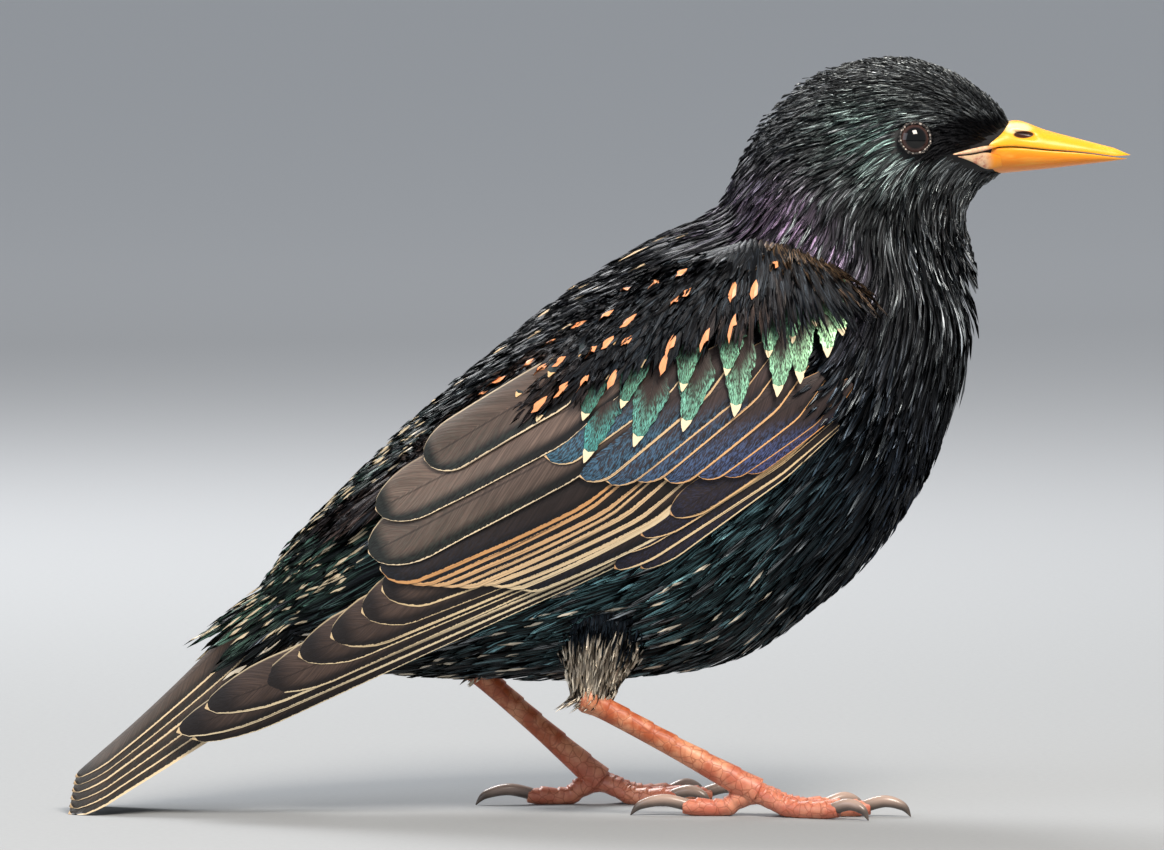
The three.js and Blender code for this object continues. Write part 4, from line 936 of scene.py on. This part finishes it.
# The corners of the mouth. A soft fold of bare flesh, pink and buff, runs back from the bill's root under
# the eye, above and below the mouth line. It lies on the skin and turns to horn where it meets the bill.
flesh_finish, add, connect = new_finish("mouth_corner_flesh", Roughness=0.45, Subsurface_Weight=0.2,
                                        Subsurface_Scale=0.001)
spot_at = add("TexCoord", {}, {}, 3)
blotch = add("TexNoise", {}, {"Vector": spot_at, "Scale": 700.0, "Detail": 4.0, "Roughness": 0.7})
pinked = add("MapRange", STEP, {0: blotch, 1: 0.45, 2: 0.68})
flesh = add("Mix", MIX, {0: pinked, 6: "#dcb592", 7: "#b0604e"}, 2)
reach = add("SeparateXYZ", {}, {0: spot_at})
horny = add("MapRange", STEP, {0: reach, 1: (68.6 - MIDDLE_X) / 1000, 2: (70.6 - MIDDLE_X) / 1000})
connect(Base_Color=add("Mix", MIX, {0: horny, 6: flesh, 7: "#f0900f"}, 2),
        Normal=add("Bump", {}, {"Strength": 0.4, "Distance": 0.0002, "Height": blotch}))
# x, z, half height of each fold along its length, then how far it stands out
FOLDS = {"upper": ([63.6, 66.0, 68.8, 71.0], [107.3, 107.7, 108.2, 108.5], [0.2, 0.35, 0.4, 0.25], 0.4),
         "lower": ([64.4, 66.8, 69.4, 72.0], [106.95, 106.6, 106.1, 105.9], [0.15, 0.65, 1.45, 1.3], 0.12)}
for side, name in SIDES:
    for fold, (xs, zs, halves, out) in FOLDS.items():
        rings = []
        for t in np.linspace(0, 3, 26):
            x, z, half = (float(curve_through(np.array(row), t)) for row in (xs, zs, halves))
            ends = math.sin(math.pi * (0.04 + 0.92 * t / 3)) ** 0.5
            turn = np.linspace(0, 2 * math.pi, 15)[:-1]
            rings.append(body.lift(x + 0 * turn, z + half * ends * np.cos(turn), side,
                                   out * ends * np.sin(turn) * (1 if fold == "upper" else 0.8)))
        flesh = bridged(rings, "mouth_fold_" + fold + "_" + name, flesh_finish)

# The eyes: wet dark balls, black at the pupil with a thin dark brown iris. Each sits in its socket, and
# only the part in front of the lid is made.
eye_finish, add, connect = new_finish("wet_eye", Roughness=0.05, IOR=1.38, Coat_Weight=0.2,
                                      Coat_Roughness=0.02)
off = add("Attribute", {"attribute_name": "off_axis"}, {}, 2)
in_iris, past_pupil = (add("MapRange", STEP, {0: off, 1: inner, 2: outer})
                       for inner, outer in ((1.75, 2.3), (1.62, 1.8)))
iris = add("Mix", MIX, {0: in_iris, 6: "#2a1a18", 7: "#4b3733"}, 2)
connect(Base_Color=add("Mix", MIX, {0: past_pupil, 6: "#020203", 7: iris}, 2))


def eye_seat(side):
    """The middle of an eye on the form, and the way it faces"""
    seat = body.lift(np.array(EYE["x"]), np.array(EYE["z"]), side, np.array(0.0))
    t, c, _ = body.locate(seat[0], seat[2])
    return seat, body.normal(t, side * np.arccos(fuller(c, 1 / FULLNESS)))


for side, name in SIDES:
    seat, facing = eye_seat(side)
    bm = bmesh.new()
    bmesh.ops.create_uvsphere(bm, u_segments=64, v_segments=40, radius=EYE["ball"] / 1000)
    off_axis = bm.verts.layers.float.new("off_axis")
    for vert in bm.verts:
        vert[off_axis] = math.hypot(vert.co.x, vert.co.y) * 1000
    cut = bmesh.ops.bisect_plane(bm, geom=bm.verts[:] + bm.edges[:] + bm.faces[:], plane_no=(0, 0, 1),
                                 plane_co=(0, 0, (EYE["sunk"] - 0.35) / 1000), clear_inner=True)
    rim = [part for part in cut["geom_cut"] if isinstance(part, bmesh.types.BMEdge)]
    bmesh.ops.holes_fill(bm, edges=rim, sides=0)
    aim = Vector(facing).to_track_quat("Z", "Y").to_matrix().to_4x4()
    place = Matrix.Translation(in_frame(seat - facing * EYE["sunk"]))
    bmesh.ops.transform(bm, matrix=place @ aim, verts=bm.verts)
    ball = finished(bm, "eyeball_" + name, eye_finish)
    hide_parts("eye_" + name)

# The lids. A ring of thin bare skin lies round each eye over the edge of the ball. It is dull and nearly
# black, with a row of tiny pale beads on its rim.
lid_finish, add, connect = new_finish("bare_lid_skin", Roughness=0.5)
beads = add("TexVoronoi", {}, {"Vector": add("TexCoord", {}, {}, 3), "Scale": 1900.0})
between_beads = add("MapRange", STEP, {0: beads, 1: 0.15, 2: 0.45})
connect(Base_Color=add("Mix", MIX, {0: between_beads, 6: "#b3a79d", 7: "#1d1816"}, 2))
# beads round the rim, and half the rim's thickness in millimetres
BEADS, LID_HALF = 26, 0.24
for side, name in SIDES:
    seat, facing = eye_seat(side)
    level = np.cross(facing, [0, 0, 1.0])
    level /= np.linalg.norm(level)
    upright = np.cross(level, facing)
    bm = bmesh.new()
    loops = []
    for turn in np.linspace(0, 2 * math.pi, 157)[:-1]:
        spoke = level * math.cos(turn) + upright * math.sin(turn)
        bead = LID_HALF * (1 + 0.22 * math.sin(turn * BEADS))
        rim = [seat + facing * 0.1 + spoke * (EYE["lid"] + 0.02 + bead * math.cos(a))
               + facing * bead * math.sin(a) for a in np.linspace(0, 2 * math.pi, 11)[:-1]]
        loops.append(edge_loop(bm, rim))
    for k in range(len(loops)):
        bmesh.ops.bridge_loops(bm, edges=loops[k - 1] + loops[k])
    bmesh.ops.recalc_face_normals(bm, faces=bm.faces)
    lid = finished(bm, "lid_" + name, lid_finish)

# The legs: bone and tendon under red-brown skin, clad in overlapping horny plates down the front of the
# shank and over the toes. The claws are hard grey horn.
# in millimetres: knee, ankle and the joint of the toes, the foot's heading in degrees and the thigh's radii
# from the knee down
LEGS = {
    "right": {"side": -1, "knee": (7.5, -10.5, 36), "ankle": (4.9, -12, 18.9), "foot": (31.9, -10.5, 3.9),
              "heading": -4, "thigh": (9.6, 8.8, 7.0, 4.6, 2.9)},
    "left": {"side": 1, "knee": (-6, 11, 36), "ankle": (-14.5, 14.5, 22.6), "foot": (6.5, 15.5, 3.9),
             "heading": 8, "thigh": (8.5, 6.6, 4.4, 2.9, 2.4)},
}
# the turn of each toe from the foot's heading, then the length of toe and claw
TOES = {"middle": (0, 18.5, 6.5), "inner": (-27, 13.5, 5.5), "outer": (25, 15, 5.5), "hind": (180, 12, 8.5)}
# the toes' middle line above the floor, and radii from root to tip
TOE_LEVEL = 1.42
SHANK_RADII = (2.0, 2.35, 1.95, 1.8, 1.75, 1.8, 2.05, 2.3)
TOE_RADII = (1.8, 1.65, 1.68, 1.5, 1.62, 1.4, 1.5, 1.1)
CLAW_RADII = (1.0, 1.0, 0.72, 0.1)


def limb(points, radii, sides, steps, plates=0, step_height=0.0, pads=0.0):
    """Rings of a tube along a curve through points. Plates step over each other on its upper side, and
    pads swell its under side between the joints."""
    points = np.array(points, float)
    at = np.linspace(0, len(points) - 1, steps)
    path = np.stack([curve_through(points[:, i], at) for i in range(3)], -1)
    ahead = np.gradient(path, axis=0)
    ahead /= np.linalg.norm(ahead, axis=-1, keepdims=True)
    aside = np.cross([0, 0, 1.0], ahead)
    aside /= np.linalg.norm(aside, axis=-1, keepdims=True)
    upward = np.cross(ahead, aside)
    share = np.linspace(0, 1, steps)
    radius = curve_through(np.array(radii, float), share * (len(radii) - 1))
    turn = np.linspace(0, 2 * math.pi, sides, endpoint=False)
    rings = []
    for k in range(steps):
        ring = radius[k] + step_height * ((share[k] * plates) % 1 - 0.5) * np.maximum(np.sin(turn), 0)
        ring = ring + pads * max(0, math.sin(share[k] * math.pi * 6)) * np.maximum(-np.sin(turn), 0)
        ring = (path[k] + aside[k] * (np.cos(turn) * ring)[:, None]
                + upward[k] * (np.sin(turn) * ring)[:, None])
        ring[:, 2] = np.maximum(ring[:, 2], 0)
        rings.append(ring)
    return rings


# Leg skin: satin red-orange scales, darker in the creases between them, and pinker on the toes
scale_finish, add, connect = new_finish("scaly_leg_skin", Roughness=0.42, Subsurface_Weight=0.1,
                                        Subsurface_Scale=0.001)
spot_at = add("TexCoord", {}, {}, 3)
height = add("SeparateXYZ", {}, {0: spot_at}, 2)
cracks = add("TexVoronoi", {"feature": "DISTANCE_TO_EDGE"}, {"Vector": spot_at, "Scale": 620.0})
blotch = add("TexNoise", {}, {"Vector": spot_at, "Scale": 240.0, "Detail": 4.0, "Roughness": 0.65})
blotched = add("MapRange", STEP, {0: blotch, 1: 0.38, 2: 0.66})
tone = add("Mix", MIX, {0: blotched, 6: "#a9532f", 7: "#d1916c"}, 2)
crease = add("MapRange", STEP, {0: cracks, 1: 0.0, 2: 0.07, 3: 0.35})
pinker = add("MapRange", STEP, {0: height, 1: 0.012, 2: 0.004, 4: 0.4})
tone = add("Mix", MIX, {0: pinker, 6: tone, 7: "#c8796a"}, 2)
connect(Base_Color=add("Mix", MIX, {0: crease, 6: "#8a4429", 7: tone}, 2),
        Normal=add("Bump", {}, {"Strength": 0.3, "Distance": 0.00012, "Height": crease}))
# Claw horn: hard keratin with a worn shine, pale pinkish grey above and almost black at the point
claw_finish, add, connect = new_finish("grey_claw_horn", Roughness=0.26)
spot_at = add("TexCoord", {}, {}, 3)
grain = add("TexNoise", {}, {"Vector": spot_at, "Scale": 500.0, "Detail": 2.0})
grey = add("Mix", MIX, {0: grain, 6: "#2b2422", 7: "#6b5f57"}, 2)
pale = add("MapRange", STEP, {0: add("SeparateXYZ", {}, {0: spot_at}, 2), 1: 0.0012, 2: 0.0034, 4: 0.85})
connect(Base_Color=add("Mix", MIX, {0: pale, 6: grey, 7: "#b39a8c"}, 2))

for name, leg in LEGS.items():
    ankle, foot = np.array(leg["ankle"], float), np.array(leg["foot"], float)
    down = (foot - ankle) / np.linalg.norm(foot - ankle)
    path = [ankle - down * 1.5, ankle + down * 3, (ankle + foot) / 2, foot]
    shank = bridged(limb(path, SHANK_RADII, 24, 160, 9, 0.2), "shank_" + name, scale_finish)
    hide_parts("leg_" + name)
    for digit, (turn, long, claw) in TOES.items():
        heading = math.radians(leg["heading"] + leg["side"] * turn)
        forward = np.array([math.cos(heading), math.sin(heading), 0])

        def at(distance, z):
            return foot * [1, 1, 0] + forward * distance + [0, 0, z]

        path = [at(0, foot[2]), at(3.4, 2.6), at(long * 0.45, TOE_LEVEL), at(long, TOE_LEVEL)]
        toe = bridged(limb(path, TOE_RADII, 20, 110, int(long / 1.5), 0.3, 0.15),
                      "toe_skin_" + digit + "_" + name, scale_finish)
        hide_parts("toe_" + digit + "_" + name)
        path = [at(long - 1.2, 1.6), at(long + claw * 0.35, 2.5), at(long + claw * 0.8, 1.7),
                at(long + claw, 0.05)]
        nail = bridged(limb(path, CLAW_RADII, 16, 30), "nail_" + digit + "_" + name, claw_finish)
        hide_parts("claw_" + digit + "_" + name)

# The thighs: short loose feathers down to the ankle, mottled dusty brown and white over dun skin that
# turns black where the belly's feathers begin.
dun_skin, add, connect = new_finish("dun_thigh_skin", Roughness=0.7)
height = add("SeparateXYZ", {}, {0: add("TexCoord", {}, {}, 3)}, 2)
belly_near = add("MapRange", STEP, {0: height, 1: 0.029, 2: 0.034})
connect(Base_Color=add("Mix", MIX, {0: belly_near, 6: "#4b4037", 7: "#0a0b0d"}, 2))
for name, leg in LEGS.items():
    ankle, knee = np.array(leg["ankle"], float), np.array(leg["knee"], float)
    rise = (knee - ankle) / np.linalg.norm(knee - ankle)
    square = np.array([rise[2], 0, -rise[0]])
    stations = [ankle + (knee - ankle) * share for share in (0.0, 0.25, 0.5, 0.75, 1.0)]
    thigh_form = Form([(*(c + square * r)[[0, 2]], *(c - square * r)[[0, 2]], r * 0.85, 0)
                       for c, r in zip(stations, leg["thigh"][::-1])])
    t, turn = scatter(thigh_form, 0.05, 3.9, lambda t, turn: 0.8 + 0 * t)
    count = len(t)
    sideways = (ankle[1] + (knee[1] - ankle[1]) * 0.5) * np.array([0, 1, 0])
    thigh_turns = np.linspace(0, 2 * math.pi, 33)[:-1]
    inside = bridged([thigh_form.over(level, thigh_turns, -1.2) + sideways
                      for level in np.linspace(0.05, 3.95, 14)], "thigh_skin_" + name, dun_skin)
    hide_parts("thigh_" + name)
    top, under, normal, vane = lay_plumes(
        thigh_form, t, turn, chance.normal(4.9, 0.7, count) * np.interp(t, [0, 1.5], [0.6, 1]),
        np.full(count, 0.5), np.full(count, -1.0), chance.normal(0.15, 0.3, count), np.full(count, 0.7), 7, 5,
        wild=0.3)
    tones = shade(plain(count, "#3a3029"), chance.uniform(0, 1, count) ** 0.7, "#cbbdaa")
    belly_black = (t + chance.normal(0, 0.3, count) > 2.9)[:, None]
    tones = np.where(belly_black, linear("#0c0c10"), tones)
    pale_tip = (chance.uniform(0, 1, (count, 1)) < 0.5) & ~belly_black
    marks = {"gleam": np.where(belly_black, linear("#23303a"), tones * 1.6), "ground": tones,
             "chance": chance.uniform(0, 1, count),
             "spot": plain(count, "#d6cbb8", 0.22) * np.where(pale_tip, 1, [1, 1, 1, 0])}
    thigh = blade_mesh("thigh_plumes_" + name, top + sideways, under + sideways, normal, vane,
                       unwrapped(turn, 0.1 + 0.2 * t, 0.9), marks, plume_finish)

# The floor. The bird stands on plain pale paper, painted darker near the bird where the lamps light it most
# and lighter further back where their light falls off. It is a stage for the pictures and no part of the
# bird.
floor_mesh = bpy.data.meshes.new("floor")
bm = bmesh.new()
bmesh.ops.create_grid(bm, x_segments=1, y_segments=1, size=14.0)
bm.to_mesh(floor_mesh)
bm.free()
floor = bpy.data.objects.new("floor", floor_mesh)
bpy.context.collection.objects.link(floor)
floor_finish, add, connect = new_finish("pale_paper", Roughness=0.9, Specular_IOR_Level=0.2)
spot_at = add("TexCoord", {}, {}, 3)
fibres = add("TexNoise", {}, {"Vector": spot_at, "Scale": 900.0})
paper = add("Mix", MIX, {0: fibres, 6: "#8f9193", 7: "#97999b"}, 2)
behind = add("SeparateXYZ", {}, {0: spot_at}).node.outputs[1]
# painted light and shade: the paper grows lighter further back, where the lamps' light falls off, and stays
# darker near the bird, where it is lit most
far = add("MapRange", STEP, {0: behind, 1: 0.1, 2: 2.2})
connect(Base_Color=add("Mix", MIX, {0: far, 6: paper, 7: "#d2d4d8"}, 2))
floor_mesh.materials.append(floor_finish)

# The light. A pale studio with three soft lamps: a large key high in front on the right, a fill from the
# left and a rim from behind.
world = bpy.data.worlds.new("studio")
bpy.context.scene.world = world
world.use_nodes = True
backdrop = world.node_tree.nodes["Background"]
backdrop.inputs[0].default_value = linear("#c4c8cc")
backdrop.inputs[1].default_value = 0.75
BIRD_MIDDLE = Vector((0, 0, 0.06))
# place, size, power, colour
LAMPS = {
    "key": ((0.35, -0.75, 0.95), 0.45, 22.0, "#fff6ea"),
    "fill": ((-0.8, -0.7, 0.5), 0.8, 5.0, "#eef4ff"),
    "rim": ((-0.3, 0.7, 0.8), 0.5, 12.0, "#ffffff"),
}
for name, (place, size, power, tint) in LAMPS.items():
    lamp = bpy.data.lights.new(name, "AREA")
    lamp.size = size
    lamp.energy = power
    lamp.color = linear(tint)[:3]
    stand = bpy.data.objects.new(name, lamp)
    stand.location = place
    stand.rotation_euler = (BIRD_MIDDLE - Vector(place)).to_track_quat("-Z", "Y").to_euler()
    bpy.context.collection.objects.link(stand)

# The camera stands where the photographer did, nearly level with the bird and far off with a long lens.
# It is framed for a picture of the photograph's size and scale, with the bird's measuring point and floor at
# these pixels.
PHOTO_WIDTH, PHOTO_HEIGHT, PIXELS_PER_MM, MEASURING_PIXEL, FLOOR_PIXEL = 1164, 850, 6.15, 560, 812
SENSOR = 36
ELEVATION = math.radians(3)
DISTANCE = 2.5
target_x = ((PHOTO_WIDTH / 2 - MEASURING_PIXEL) / PIXELS_PER_MM - MIDDLE_X) / 1000
target_z = (FLOOR_PIXEL - PHOTO_HEIGHT / 2) / PIXELS_PER_MM / 1000
camera_data = bpy.data.cameras.new("camera")
camera_data.sensor_width = SENSOR
camera_data.lens = SENSOR * DISTANCE / (PHOTO_WIDTH / PIXELS_PER_MM / 1000)
camera = bpy.data.objects.new("camera", camera_data)
target = Vector((target_x, 0, target_z))
camera.location = target + Vector((0, -math.cos(ELEVATION), math.sin(ELEVATION))) * DISTANCE
camera.rotation_euler = (target - camera.location).to_track_quat("-Z", "Y").to_euler()
bpy.context.collection.objects.link(camera)
bpy.context.scene.camera = camera
bpy.context.scene.view_settings.view_transform = "Standard"
